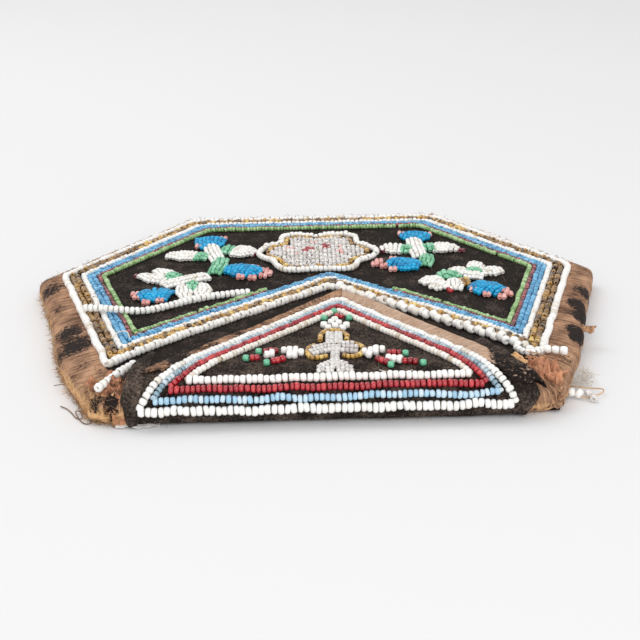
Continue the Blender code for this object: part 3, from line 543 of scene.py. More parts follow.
def inset_sides(offset):
    sides = [moved_in(side, inset + offset) for side, inset in zip(SIDES, OUTER_INSETS)]
    return sides, [crossing(sides[i], sides[i + 1]) for i in range(4)]


def notch_lines():
    """The two lines of the V along the flap."""
    sides, _ = inset_sides(0.0)
    mouth = (0.0, 1.0, NOTCH_FOOT_Y)
    return (line_through(crossing(mouth, sides[0]), NOTCH_APEX, FIELD_CENTRE),
            line_through(NOTCH_APEX, crossing(sides[4], mouth), FIELD_CENTRE))


def row_outline(offset):
    sides, corners = inset_sides(offset)
    left, right = [moved_in(line, offset) for line in notch_lines()]
    return [crossing(left, sides[0])] + corners + [crossing(sides[4], right), crossing(right, left)]


# Middle of each row, measured inwards from the outer one's, and half the gap in the two innermost at the V's apex
OPEN_HALF = 19.0
BODY_OFFSETS = (0.0, 1.95, 3.5, 5.25, 6.925, 8.325, 9.7, 11.05)


def open_apex(corners, half):
    """The red and green rows stop short of the V's apex."""
    apex = Vector(corners[-1])
    start = apex + (Vector(corners[0]) - apex).normalized() * half / 0.75
    end = apex + (Vector(corners[-2]) - apex).normalized() * half / 0.75
    return [tuple(start)] + corners[:-1] + [tuple(end)]


def body_row(node, name, material, index, radius, open_half, facts, keep_bead=None, **settings):
    """One row round the field, closed or open at the apex.

    The facts are its beads' width, pitch, lift, wobble and seed. Gold beads are duller at the sides.
    """
    corners = row_outline(BODY_OFFSETS[index])
    if open_half:
        path = densify(rounded(open_apex(corners, open_half), radius, False))
    else:
        path = densify(rounded(corners, radius, True), closed=True)
    beads = row_beads(path, on_front, *facts, keep_bead=keep_bead, **settings)
    if material is GOLD:
        beads = [(*bead[:5], bead[5] * (0.68 if abs(bead[0][0]) > 58.0 else 1.0)) for bead in beads]
    lay_beads(name, beads, material, node, shape=SMALL_BEAD)


def body_rows():
    outline = row_outline(BODY_OFFSETS[0])
    far_sides = densify(rounded(outline[:6], 2.5, False))
    left_leg = densify([outline[6], outline[0]])
    right_leg = densify([outline[5], outline[6]])
    beads = row_beads(far_sides, on_front, 2.25, 1.45, 0.45, 0.22, 1.0, 0.05, tilt=0.12)
    beads += row_beads(left_leg, on_front, 2.35, 1.5, 0.45, 0.25, 2.0, 0.08, tilt=0.22)
    beads += row_beads(right_leg, on_front, 2.75, 1.95, 0.5, 0.2, 3.0, 0.12, tilt=0.3, zigzag=0.38)
    lay_beads("outer_white_beads", beads, WHITE, "row_outer_white")

    def worn(x, y):
        """Some gold beads are gone from the two sides."""
        return not (abs(x) > 66.0 and draw() < 0.18)

    gold = {"swell": 0.12, "missing": 0.04, "tilt": 0.3, "keep_bead": worn}
    fine = {"swell": 0.08, "tilt": 0.2}
    body_row("row_gold_outer", "gold_outer_beads", GOLD, 1, 1.5, 0.0, (1.7, 1.15, 0.62, 0.2, 4.0), **gold)
    body_row("row_gold_inner", "gold_inner_beads", GOLD, 2, 1.5, 0.0, (1.7, 1.15, 0.62, 0.2, 5.0), **gold)
    body_row("row_inner_white", "inner_white_beads", WHITE, 3, 2.0, 0.0, (2.0, 1.42, 0.45, 0.2, 6.0), tilt=0.14)
    body_row("row_blue_outer", "blue_outer_beads", BLUE, 4, 1.0, 0.0, (1.62, 1.05, 0.5, 0.12, 7.0), **fine)
    body_row("row_blue_inner", "blue_inner_beads", BLUE, 5, 1.0, 0.0, (1.62, 1.05, 0.5, 0.12, 8.0), **fine)
    body_row("row_dark_red", "dark_red_beads", RED, 6, 1.0, OPEN_HALF, (1.45, 1.0, 0.5, 0.15, 9.0), missing=0.02,
             **fine)
    body_row("row_pale_green", "pale_green_beads", GREEN, 7, 1.0, OPEN_HALF, (1.55, 1.0, 0.5, 0.15, 10.0),
             missing=0.01, **fine)


# Flap rows: a base line of full beads, and smaller beads up the slants
FLAP_ROW_RUN = 6.0
FLAP_ROW_STEP = 2.4
FLAP_OFFSETS = (0.0, 1.95, 3.6, 5.35)


def flap_row_lines(index):
    """Right foot, right slant, left slant, left foot."""
    apex = (5.0, 67.0)
    shoulder = (44.2, 11.0)
    foot = (47.0, FLAP_ROW_RUN)
    left_foot, left_shoulder = [(-x, run) for x, run in (foot, shoulder)]
    lines = [
        line_through(foot, shoulder, FLAP_CENTRE), line_through(shoulder, apex, FLAP_CENTRE),
        line_through(apex, left_shoulder, FLAP_CENTRE), line_through(left_shoulder, left_foot, FLAP_CENTRE),
    ]
    return [moved_in(line, FLAP_OFFSETS[index]) for line in lines]


def flap_row_points(index):
    """Foot on the right, over the tip, to the foot on the left."""
    lines = flap_row_lines(index)
    base = (0.0, 1.0, FLAP_ROW_RUN + index * FLAP_ROW_STEP)
    shoulder_run = crossing(lines[0], lines[1])[1]
    tip = crossing(lines[1], lines[2])
    if shoulder_run > base[2]:
        right = [crossing(base, lines[0]), crossing(lines[0], lines[1])]
        left = [crossing(lines[2], lines[3]), crossing(lines[3], base)]
    else:
        right = [crossing(base, lines[1])]
        left = [crossing(lines[2], base)]
    return right + [tip] + left


def flap_rows():
    # Node, piece, material, then width, pitch and lift of the base line and of the slants
    facts = (
        ("flap_row_outer_white", "flap_outer_white_beads", WHITE, (2.60, 1.56, 0.45), (2.15, 1.45, 0.45)),
        ("flap_row_pale_blue", "flap_pale_blue_beads", PALE_BLUE, (2.15, 1.38, 0.45), (1.75, 1.2, 0.62)),
        ("flap_row_dark_red", "flap_ruby_beads", RUBY, (2.15, 1.36, 0.45), (1.65, 1.2, 0.75)),
        ("flap_row_inner_white", "flap_inner_white_beads", CREAM, (2.40, 1.52, 0.45), (1.85, 1.42, 0.42)),
    )
    for index, (node, name, material, base_facts, slant_facts) in enumerate(facts):
        points = flap_row_points(index)
        base = densify([points[-1], points[0]])
        beads = row_beads(base, on_flap, *base_facts, wobble=0.28, seed=20.0 + index * 0.37, swell=0.045,
                          tone_low=0.25, tone_high=0.9, length_share=1.0 if "white" in node else 0.95)
        slant = densify(rounded(points, 2.5, False))
        slant_beads = row_beads(slant, on_flap, *slant_facts, wobble=0.18, seed=31.0 + index, swell=0.05, tilt=0.12)
        if node == "flap_row_pale_blue":
            lay_beads("flap_grey_blue_beads", slant_beads, GREY_BLUE, node, shape=SMALL_BEAD)
            lay_beads(name, beads, material, node)
        elif node == "flap_row_inner_white":
            lay_beads("flap_inner_base_beads", beads, WHITE, node)
            lay_beads(name, slant_beads, material, node)
        else:
            lay_beads(name, beads + slant_beads, material, node)


# Pads: lanes of beads across a spine, higher in the middle
def pad_beads(spine, place, width=1.5, lane=1.25, across=1.25, crown=1.15, base=0.25):
    """Rows of beads across a spine, heaped up in the middle."""
    stations = []
    for (x0, y0, w0), (x1, y1, w1) in zip(spine, spine[1:]):
        count = max(1, round(math.hypot(x1 - x0, y1 - y0) / lane))
        for i in range(count):
            t = i / count
            stations.append((x0 + (x1 - x0) * t, y0 + (y1 - y0) * t, w0 + (w1 - w0) * t))
    stations.append(spine[-1])
    beads = []
    for i, (x, y, wide) in enumerate(stations):
        xa, ya, _ = stations[max(i - 1, 0)]
        xb, yb, _ = stations[min(i + 1, len(stations) - 1)]
        direction = Vector((xb - xa, yb - ya)).normalized()
        side = Vector((-direction.y, direction.x))
        wide *= 1.12
        count = max(1, round(wide / across))
        length = wide / count
        end_fall = min(1.0, 0.62 + 0.38 * min(i, len(stations) - 1 - i))
        for k in range(count):
            s = (k + 0.5) / count - 0.5
            lift = base + crown * end_fall * (1 - (2 * s) ** 2) * min(1.0, wide / 4.0) + gauss(0.05)
            bx = x + side.x * s * wide + gauss(0.06)
            by = y + side.y * s * wide + gauss(0.06)
            centre = place(bx, by, lift + width * 0.3)
            above = Vector(place(bx, by, 2.0)) - Vector(place(bx, by, 1.0))
            slope = -8.0 * s * crown * end_fall / max(wide, 2.0) * min(1.0, wide / 4.0)
            ahead = Vector(place(bx + side.x, by + side.y, 1.0 + slope)) - Vector(place(bx, by, 1.0))
            ahead += scatter(0.10)
            size = width * (1.0 + gauss(0.04))
            beads.append((centre, tuple(ahead), tuple(above), length * 1.12, size, draw()))
    return beads


FLOWER = (
    (19.7, 103.4), (16.6, 109.4), (13.3, 111.6), (13.6, 118.8), (10.0, 121.1), (5.1, 121.5), (1.0, 119.7),
    (-3.2, 121.0), (-7.5, 122.4), (-11.2, 119.5), (-10.6, 113.3), (-15.4, 111.4), (-18.6, 104.0),
    (-17.2, 99.6), (-13.4, 96.2), (-12.8, 92.0), (-10.4, 87.6), (-5.5, 87.2), (0.1, 88.2), (9.9, 87.4),
    (12.2, 90.6), (12.8, 95.2), (17.4, 97.6),
)


def inside(point, outline):
    x, y = point
    found = False
    for (x0, y0), (x1, y1) in zip(outline, outline[1:] + outline[:1]):
        if (y0 > y) != (y1 > y) and x < (x1 - x0) * (y - y0) / (y1 - y0) + x0:
            found = not found
    return found


def gap_to(point, outline):
    """Distance from a point to an outline."""
    best = 1e9
    p = Vector(point)
    for a, b in zip(outline, outline[1:] + outline[:1]):
        start = Vector(a)
        along = Vector(b) - start
        t = min(max((p - start).dot(along) / along.length_squared, 0.0), 1.0)
        best = min(best, (start + along * t - p).length)
    return best


# The flower's amber outline as a share of its white one, and the grid of its filling
AMBER_SHARE = 0.855
FILLING_STEP = (1.30, 1.18)
FILLING_GAP = 0.9
# Red beads in the middle, with their reach, and the places of the blush round them
HEART = ((-3.4, 103.8), (-1.8, 105.2), (3.2, 108.0), (3.0, 106.4))
HEART_REACH = 1.2
ROSE = ((-7.5, 108.0), (-5.0, 101.0), (6.5, 103.0), (0.5, 110.5), (8.0, 107.0))
ROSE_REACH = 2.4


def near_any(x, y, places, reach):
    return any(math.hypot(x - a, y - b) < reach for a, b in places)


def shrunk(outline, share):
    cx = sum(x for x, _ in outline) / len(outline)
    cy = sum(y for _, y in outline) / len(outline)
    return [(cx + (x - cx) * share, cy + (y - cy) * share) for x, y in outline]


def flower():
    outline = list(FLOWER)
    path = densify(rounded(outline, 2.6, True), closed=True)
    beads = row_beads(path, on_front, 2.0, 1.38, 0.62, wobble=0.1, seed=41.0, tilt=0.15)
    lay_beads("flower_white_beads", beads, WHITE, "flower_outline_white")
    inner = shrunk(outline, AMBER_SHARE)
    path = densify(rounded(inner, 2.4, True), closed=True)
    beads = row_beads(path, on_front, 1.45, 1.15, 0.75, wobble=0.15, seed=42.0, swell=0.1, missing=0.12, tilt=0.25,
                      tone_low=0.35)
    lay_beads("flower_amber_beads", beads, GOLD, "flower_outline_amber", shape=SMALL_BEAD)
    clear, red, blush, milky = [], [], [], []
    y = 88.0
    while y < 121.5:
        x = -18.0
        while x < 19.0:
            px = x + gauss(0.16)
            py = y + gauss(0.16)
            if inside((px, py), inner) and gap_to((px, py), inner) > FILLING_GAP:
                rise = min(gap_to((px, py), inner) / 6.0, 1.0)
                turn = math.atan2(py - 104.5, px - 0.5) + gauss(0.35)
                centre = on_front(px, py, 0.8 + 0.75 * rise + gauss(0.12))
                lean = (math.cos(turn), math.sin(turn), gauss(0.25))
                bead = (centre, lean, (0.0, 0.0, 1.0), 1.3, 1.45, draw(0.2, 1.0))
                luck = draw()
                if near_any(px, py, HEART, HEART_REACH):
                    red.append(bead)
                elif luck < 0.2 and near_any(px, py, ROSE, ROSE_REACH):
                    blush.append(bead)
                else:
                    (milky if luck < 0.16 else clear).append(bead)
            x += FILLING_STEP[0]
        y += FILLING_STEP[1]
    lay_beads("flower_clear_beads", clear, CLEAR, "flower_filling", shape=SMALL_BEAD)
    lay_beads("flower_red_beads", red, RUBY, shape=SMALL_BEAD)
    lay_beads("flower_blush_beads", blush, PINK, shape=SMALL_BEAD, slot="bead_clear")
    lay_beads("flower_milky_beads", milky, CREAM, shape=SMALL_BEAD, slot="bead_clear")


# Sprigs: node, material, spine as (x, y, width)
PADS = (
    ("left_bud", BRIGHT_BLUE, ((-35.0, 110.2, 3.6), (-34.4, 114.6, 8.6), (-34.2, 119.8, 9.4))),
    ("left_stem_white", WHITE, ((-34.0, 112.0, 4.4), (-32.6, 104.0, 4.8), (-31.0, 97.4, 4.2))),
    ("left_stem_green", LEAF_GREEN, ((-30.0, 98.6, 4.4), (-30.4, 92.0, 4.6), (-31.6, 86.6, 4.0))),
    ("left_leaf_outer_white", WHITE, ((-47.4, 103.6, 2.4), (-43.0, 103.6, 6.6), (-38.6, 103.2, 6.0))),
    ("left_leaf_outer_green", LEAF_GREEN, ((-37.7, 102.8, 5.6), (-34.6, 101.6, 4.2))),
    ("left_leaf_inner_green", LEAF_GREEN, ((-29.6, 108.4, 5.4), (-26.9, 107.8, 6.4))),
    ("left_leaf_inner_white", WHITE, ((-25.9, 107.2, 7.6), (-22.8, 106.2, 8.4), (-19.8, 104.8, 3.6))),
    ("left_blossom", BRIGHT_BLUE, ((-28.0, 89.6, 4.6), (-24.5, 89.0, 9.0), (-20.6, 87.6, 8.6), (-17.6, 86.4, 4.8))),
    ("left_lower_stem", WHITE, ((-46.2, 76.6, 4.0), (-39.6, 81.0, 5.0), (-33.9, 83.6, 4.6))),
    ("left_lower_blossom", BRIGHT_BLUE, ((-52.6, 67.6, 5.6), (-48.6, 69.4, 9.0), (-44.2, 68.2, 6.6))),
    ("right_bud", BRIGHT_BLUE, ((32.6, 113.4, 4.0), (32.8, 116.6, 8.6), (33.2, 120.8, 9.6))),
    ("right_stem_white", WHITE, ((32.0, 114.0, 4.4), (32.0, 105.0, 4.8), (32.4, 97.1, 4.2))),
    ("right_stem_green", LEAF_GREEN, ((34.8, 97.6, 3.6), (34.2, 93.2, 4.2), (33.4, 89.6, 3.8))),
    ("right_leaf_outer_green", LEAF_GREEN, ((34.8, 106.2, 4.8), (37.6, 106.4, 6.4))),
    ("right_leaf_outer_white", WHITE, ((38.5, 106.6, 7.2), (41.6, 106.0, 7.4), (45.0, 104.2, 3.0))),
    ("right_leaf_inner_white", WHITE, ((21.2, 106.0, 3.0), (24.0, 106.2, 7.6), (26.9, 105.8, 7.0))),
    ("right_leaf_inner_green", LEAF_GREEN, ((27.8, 105.4, 6.2), (30.4, 104.8, 5.2))),
    ("right_blossom", BRIGHT_BLUE, ((22.6, 93.0, 6.0), (25.0, 91.8, 8.6), (28.4, 90.6, 8.6), (31.4, 89.4, 5.2))),
    ("right_lower_stem", WHITE, ((42.6, 84.2, 3.6), (43.8, 79.8, 4.4), (49.4, 78.4, 4.2))),
    ("right_lower_blossom", BRIGHT_BLUE, ((46.4, 71.4, 6.0), (49.6, 68.4, 9.4), (53.0, 65.8, 6.2))),
)
PINK_TIPS = (
    (-30.2, 120.0), (-37.8, 113.2), (-23.6, 83.0), (-20.0, 82.0), (-16.2, 88.0), (-15.2, 85.6), (-16.8, 83.4),
    (-19.2, 91.0), (-54.4, 70.4), (-53.6, 68.2), (-46.6, 65.0), (-50.6, 63.4), (28.8, 121.0), (37.4, 120.2),
    (18.0, 91.8), (19.4, 94.2), (20.6, 90.2), (23.2, 86.8), (24.0, 96.0), (45.6, 68.2), (48.8, 63.8), (54.6, 66.4),
    (55.2, 63.8), (53.0, 61.8),
)
DARK_TIPS = ((-19.4, 104.0), (46.6, 104.2), (-55.0, 87.0), (21.2, 104.8))
# Leaves that lie by the sprigs' feet: material, spine, node
SMALL_LEAVES = (
    (WHITE, ((-54.2, 86.0, 2.6), (-50.2, 83.2, 5.4), (-46.4, 81.2, 4.0)), "left_lower_leaves"),
    (WHITE, ((-49.8, 90.2, 2.6), (-46.8, 87.4, 5.2), (-44.6, 85.0, 4.0)), "left_lower_leaves"),
    (LEAF_GREEN, ((-45.6, 83.8, 4.8), (-42.6, 82.8, 4.8)), None),
    (LEAF_GREEN, ((-37.8, 77.6, 3.2), (-37.6, 71.6, 2.4)), None),
    (WHITE, ((-40.6, 75.6, 3.4), (-40.0, 70.6, 4.6), (-39.2, 65.6, 3.0)), None),
    (WHITE, ((-35.2, 76.4, 3.6), (-34.4, 71.6, 5.0), (-34.8, 66.8, 3.2)), None),
    (WHITE, ((31.1, 74.4, 3.0), (33.9, 76.0, 5.4), (36.4, 77.2, 4.0)), None),
    (WHITE, ((33.9, 69.6, 3.0), (35.7, 71.2, 5.0), (37.4, 73.6, 4.0)), None),
    (WHITE, ((40.8, 75.6, 3.8), (40.6, 72.2, 4.8), (40.2, 68.6, 3.8)), None),
    (LEAF_GREEN, ((36.8, 79.4, 4.6), (39.4, 79.6, 5.0), (41.8, 77.4, 3.8)), None),
    (LEAF_GREEN, ((46.0, 82.6, 4.6), (49.2, 81.6, 4.4)), None),
    (WHITE, ((48.6, 90.4, 3.2), (48.9, 87.6, 5.2), (48.0, 84.8, 3.8)), "right_lower_leaves"),
    (WHITE, ((56.0, 83.8, 3.4), (53.2, 83.2, 5.8), (50.4, 82.4, 4.2)), "right_lower_leaves"),
    (WHITE, ((42.6, 85.4, 4.8), (43.8, 80.8, 5.0)), None),
    (GOLD, ((43.6, 75.6, 2.6), (43.8, 71.6, 2.4)), None),
)


def sprigs():
    for node, material, spine in PADS:
        lay_beads(node + "_beads", pad_beads(spine, on_front), material, node, shape=SMALL_BEAD)
    for number, (material, spine, node) in enumerate(SMALL_LEAVES):
        beads = pad_beads(spine, on_front, crown=0.8 if material is WHITE else 1.5)
        lay_beads("small_leaf_%02d_beads" % number, beads, material, *([node] if node else []), shape=SMALL_BEAD)
    tips = []
    for x, y in PINK_TIPS:
        tips += pad_beads(((x - 0.65, y, 2.3), (x + 0.65, y - 0.1, 2.3)), on_front, lane=1.4, crown=1.2)
    lay_beads("pink_tip_beads", tips, PINK, shape=SMALL_BEAD)
    reds = pad_beads(((38.4, 68.6, 1.4), (38.6, 67.6, 1.4)), on_front, crown=0.2)
    lay_beads("red_tip_beads", reds, RUBY, shape=SMALL_BEAD)
    dark = []
    for x, y in DARK_TIPS:
        dark += pad_beads(((x - 0.6, y, 1.3), (x + 0.6, y, 1.3)), on_front, crown=0.1)
    lay_beads("dark_tip_beads", dark, RED, shape=SMALL_BEAD)


# Flap design: plan x and run of each bead string
FLAP_ARCH = (((-1.1, 34.0), (-0.8, 39.0), (1.3, 41.6), (2.9, 42.1), (4.9, 40.6), (6.3, 37.3), (5.9, 34.1)),)
FLAP_PETAL_RIMS = (
    ((-2.5, 30.9), (-4.5, 28.6), (-4.8, 25.5), (-3.8, 21.9), (-1.5, 22.1), (1.1, 23.5)),
    ((6.5, 32.8), (8.8, 31.1), (10.2, 27.6), (9.0, 23.4), (6.6, 22.0), (3.7, 23.7)),
)
FLAP_CLEARS = (
    ((0.9, 31.4), (1.2, 39.4)), ((1.8, 30.6), (2.2, 40.2)), ((3.1, 30.5), (3.5, 40.1)), ((4.1, 31.2), (4.4, 39.2)),
    ((2.2, 29.9), (1.6, 15.8)), ((3.2, 29.8), (2.6, 15.7)),
    ((1.4, 31.6), (-3.4, 28.5)), ((1.6, 29.4), (-4.1, 26.1)), ((1.5, 26.9), (-3.8, 24.2)),
    ((3.3, 31.5), (8.4, 31.1)), ((3.2, 29.3), (9.3, 28.2)), ((3.1, 26.8), (8.5, 25.2)),
    ((1.9, 19.6), (-1.6, 17.0)), ((1.9, 18.0), (-2.8, 16.1)), ((1.9, 16.5), (-2.4, 15.2)), ((1.8, 15.4), (-1.2, 14.4)),
    ((2.6, 19.6), (6.0, 17.2)), ((2.6, 17.9), (7.1, 15.9)), ((2.5, 16.5), (6.6, 14.9)), ((2.5, 15.4), (5.3, 14.3)),
)
FLAP_LOOPS = ((0.3, 45.6), (1.3, 43.4), (3.4, 50.2), (2.4, 47.6), (4.4, 47.6), (5.2, 43.4), (6.4, 45.4), (3.3, 44.6))
FLAP_LEFT_WHITE = (((-15.8, 23.7), (-12.4, 24.3)), ((-11.4, 26.9), (-6.3, 26.7)), ((-9.8, 25.2), (-5.0, 25.0)),
                   ((-10.1, 23.4), (-6.4, 23.2)))
FLAP_RIGHT_WHITE = (((15.2, 20.4), (19.3, 18.9)), ((11.0, 25.9), (16.3, 25.5)), ((9.4, 24.3), (14.2, 24.0)),
                    ((10.4, 22.5), (13.0, 22.0)))
FLAP_LEFT_RED = (((-16.0, 27.0), (-11.8, 27.6)), ((-19.4, 22.7), (-16.0, 22.9)), ((-14.0, 20.3), (-10.3, 21.8)))
FLAP_RIGHT_RED = (((15.8, 24.2), (19.6, 23.7)), ((19.4, 19.2), (23.6, 18.2)), ((12.8, 20.8), (15.8, 18.2)))
FLAP_GREENS = ((-17.2, 27.1), (-20.4, 22.7), (-15.1, 19.8), (20.5, 23.2), (24.5, 17.8), (16.3, 17.2), (0.6, 51.6),
               (7.4, 51.3), (3.5, 56.4))


def flap_strings(paths, width, pitch, lift, tone_low=0.0):
    beads = []
    for path in paths:
        dense = densify(rounded(path, 1.2, False)) if len(path) > 2 else densify(path)
        beads += row_beads(dense, on_flap, width, pitch, lift, wobble=0.05, seed=51.0, swell=0.04, tilt=0.10,
                           tone_low=tone_low)
    return beads


def single_beads(places, width, length):
    beads = []
    for x, run in places:
        turn = gauss(0.35)
        centre = on_flap(x, run, 0.5 * width + gauss(0.1))
        beads.append((centre, (math.cos(turn), math.sin(turn), 0.0), (0.0, 0.0, 1.0), length, width,
                      draw(0.3, 1.0)))
    return beads


def flap_design():
    lay_beads("flap_loop_beads", single_beads(FLAP_LOOPS, 2.1, 1.9), WHITE, "flap_loops")
    ambers = flap_strings(FLAP_ARCH, 1.5, 1.15, 0.62, 0.4) + flap_strings(FLAP_PETAL_RIMS, 1.45, 1.15, 0.55, 0.4)
    lay_beads("flap_amber_beads", ambers, GOLD, "flap_arch", shape=SMALL_BEAD)
    clears = flap_strings(FLAP_CLEARS, 1.6, 1.15, 0.6, 0.3)
    lay_beads("flap_clear_beads", clears, CLEAR, "flap_clear_petals", shape=SMALL_BEAD)
    for side, white, red in (("left", FLAP_LEFT_WHITE, FLAP_LEFT_RED), ("right", FLAP_RIGHT_WHITE, FLAP_RIGHT_RED)):
        piece = "flap_" + side
        lay_beads(piece + "_white_beads", flap_strings(white, 2.3, 1.45, 0.55, 0.3), WHITE, piece + "_white")
        lay_beads(piece + "_ruby_beads", flap_strings(red, 1.9, 1.3, 0.5), RUBY, piece + "_branches")
    lay_beads("flap_mint_beads", single_beads(FLAP_GREENS, 1.9, 1.7), MINT)
    lay_beads("flap_top_ruby_beads", single_beads(((4.2, 53.9), (5.4, 53.4)), 1.5, 1.3), RUBY)
    route = [on_flap(x, run, 0.5) for x, run in ((13.2, 15.7), (15.4, 14.9), (18.4, 14.4), (21.7, 15.4))]
    thread_tube("flap_loose_thread", route, 0.12, THREAD, "bead_strand")


# Cloth: a grid primitive whose points are moved to their places
def cloth_grid(name, columns, rows, place, material, thickness, inward=True):
    """A sheet with its thickness, and the area of one face. place gives each point from two shares of the way."""
    bpy.ops.object.select_all(action="DESELECT")
    bpy.ops.mesh.primitive_grid_add(x_subdivisions=columns, y_subdivisions=rows, size=1.0, location=(0.5, 0.5, 0.0))
    cloth = bpy.context.object
    cloth.name = name
    cloth.data.name = name
    bpy.ops.object.transform_apply(location=True, rotation=False, scale=False)
    for vertex in cloth.data.vertices:
        vertex.co = at(*place(vertex.co.x, vertex.co.y))
    cloth.data.materials.append(material)
    area = sum(polygon.area for polygon in cloth.data.polygons)
    wall = cloth.modifiers.new("wall", "SOLIDIFY")
    wall.thickness = thickness * MM
    wall.offset = -1.0 if inward else 1.0
    bpy.ops.object.modifier_apply(modifier=wall.name)
    bpy.ops.object.shade_smooth()
    return cloth, area


def paint(cloth, name, value):
    """Store a number at each point of a piece, worked out from its place in the drawing."""
    values = []
    for vertex in cloth.data.vertices:
        x, y, z = vertex.co / MM
        values.append(value(x, y - SHIFT_Y, z))
    cloth.data.attributes.new(name, "FLOAT", "POINT").data.foreach_set("value", values)


def ripple(x, y, seed, scale, height):
    return height * noise_at(x * scale, y * scale, seed)


# The grid of the ply that shows, and of those that nothing shows
SHOWN_GRID = (106, 90)
HIDDEN_GRID = (56, 48)
# Distance of the flap's cut edge from the end of its profile
TIP_SETBACK = 1.6


def body_sheet(name, node, slot, material, low_y, inset, height, thickness, grid):
    """One ply of a panel."""
    def place(u, v):
        y = low_y + inset + (BOTTOM_Y - inset - low_y - inset) * v
        half = half_width(y) - inset * 1.05
        x = -half + 2 * half * u
        return (x, y, height(x, y))

    cloth, area = cloth_grid(name, *grid, place, material, thickness)
    keep(cloth, slot, node)


def body_cloth():
    """The four plies, each with its own height in the bag."""
    def pile(x, y):
        return front_height(x, y) + 0.06 + ripple(x, y, 3.0, 0.09, 0.22) + ripple(x, y, 5.0, 0.5, 0.10)

    def lining(x, y):
        return front_height(x, y) - 1.40 + ripple(x, y, 7.0, 0.12, 0.08)

    def back_lining(x, y):
        return 2.20 + ripple(x, y, 9.0, 0.12, 0.06)

    def back_pile(x, y):
        return 1.10 + ripple(x, y, 12.0, 0.15, 0.05)

    body_sheet("front_velvet_cloth", "front_velvet", "velvet", VELVET, FRONT_MOUTH_Y, 1.6, pile, 0.5, SHOWN_GRID)
    body_sheet("front_lining_cloth", "front_lining", "lining", COTTON, 10.2, 1.7, lining, 0.2, HIDDEN_GRID)
    body_sheet("back_lining_cloth", "back_lining", "lining", COTTON, MOUTH_Y, 1.7, back_lining, 0.18, HIDDEN_GRID)
    body_sheet("back_velvet_cloth", "back_velvet", "velvet", VELVET, MOUTH_Y, 0.1, back_pile, 0.5, HIDDEN_GRID)


def flap_cloth():
    """Velvet and lining of the flap, both folded over the mouth."""
    def spot(lift, inset, waves):
        def place(u, v):
            run = (FLAP_LENGTH - TIP_SETBACK) * v
            left, right = flap_edges(inset, run)
            x = left + (right - left) * u
            coarse = ripple(x, run, 15.0, 0.10, waves)
            return on_flap(x, run, lift + coarse + ripple(x, run, 16.0, 0.6, waves * 0.4))
        return place

    cloth, area = cloth_grid("flap_velvet_cloth", 76, 90, spot(0.0, 0.2, 0.22), FLAP_VELVET, 0.5)
    keep(cloth, "velvet", "flap_velvet")
    lining, area = cloth_grid("flap_lining_cloth", 50, 60, spot(-0.75, 1.5, 0.05), COTTON, 0.22)
    keep(lining, "lining", "flap_lining")


def on_section(section, share):
    """The numbers of a section's points, blended at a share of its way."""
    step = min(share * (len(section) - 1), len(section) - 1.001)
    k = int(step)
    t = step - k
    return [a * (1 - t) + b * t for a, b in zip(section[k], section[k + 1])]


# Ribbons: a section swept along the edge, with wrinkles, worn patches and frayed stretches. The section is
# (distance from the edge, height), from its top round to its underside
BINDING_SECTION = (
    (6.9, 7.55), (5.2, 7.45), (3.4, 7.12), (1.9, 6.72), (0.8, 6.25), (0.0, 5.55), (-0.42, 4.6), (-0.55, 3.4),
    (-0.5, 2.2), (-0.2, 1.2), (0.5, 0.5), (1.7, 0.18), (3.4, 0.10), (5.4, 0.12),
)
# The edge binding starts beside the flap, at this place on the mouth, and its outline is known this far inwards
RIM_Y = 2.7
RIM_END_X = 49.5
RIM_DEPTH = 6.0


def rim_corners(inset):
    """The bag's outline from beside one end of the flap round to the other, moved in from the edge."""
    mouth = (0.0, 1.0, RIM_Y + inset)
    sides = [moved_in(side, inset) for side in SIDES]
    corners = [crossing(mouth, sides[0])] + [crossing(sides[i], sides[i + 1]) for i in range(4)]
    corners.append(crossing(sides[4], mouth))
    return [(-RIM_END_X, RIM_Y + inset)] + corners + [(RIM_END_X, RIM_Y + inset)]


def rim_curve(inset, mouth_radius, radius, counts=None):
    """Rounded outline; the same counts pair its points with those of another inset."""
    path = [Vector(p) for p in rim_corners(inset)]
    points = [path[0]]
    used = []
    for k in range(1, len(path) - 1):
        before = (path[k - 1] - path[k]).normalized()
        after = (path[k + 1] - path[k]).normalized()
        turn = math.pi - before.angle(after)
        tangent = (mouth_radius if k in (1, len(path) - 2) else radius) * math.tan(turn / 2)
        start = path[k] + before * tangent
        end = path[k] + after * tangent
        used.append(counts[k - 1] if counts else max(2, round((start - points[-1]).length / 1.5)))
        last = points[-1]
        points += [last.lerp(start, (i + 1) / used[-1]) for i in range(used[-1])]
        for i in range(1, 9):
            t = i / 8
            points.append(start * (1 - t) ** 2 + path[k] * 2 * t * (1 - t) + end * t ** 2)
    used.append(counts[-1] if counts else max(2, round((path[-1] - points[-1]).length / 1.5)))
    last = points[-1]
    points += [last.lerp(path[-1], (i + 1) / used[-1]) for i in range(used[-1])]
    return np.array([tuple(p) for p in points]), used


RIM_OUTER, RIM_COUNTS = rim_curve(0.0, 7.0, 3.5)
RIM_INNER, _ = rim_curve(RIM_DEPTH, 2.0, 1.5, RIM_COUNTS)
RIM_TRAVEL = np.concatenate(([0.0], np.cumsum(np.linalg.norm(np.diff(RIM_OUTER, axis=0), axis=1))))


def along_rim(share, inset):
    """Plan point and outward direction at a share of the outline's length."""
    travel = share * RIM_TRAVEL[-1]
    outer = Vector([float(np.interp(travel, RIM_TRAVEL, RIM_OUTER[:, k])) for k in range(2)])
    inner = Vector([float(np.interp(travel, RIM_TRAVEL, RIM_INNER[:, k])) for k in range(2)])
    return outer.lerp(inner, inset / RIM_DEPTH), (outer - inner).normalized()


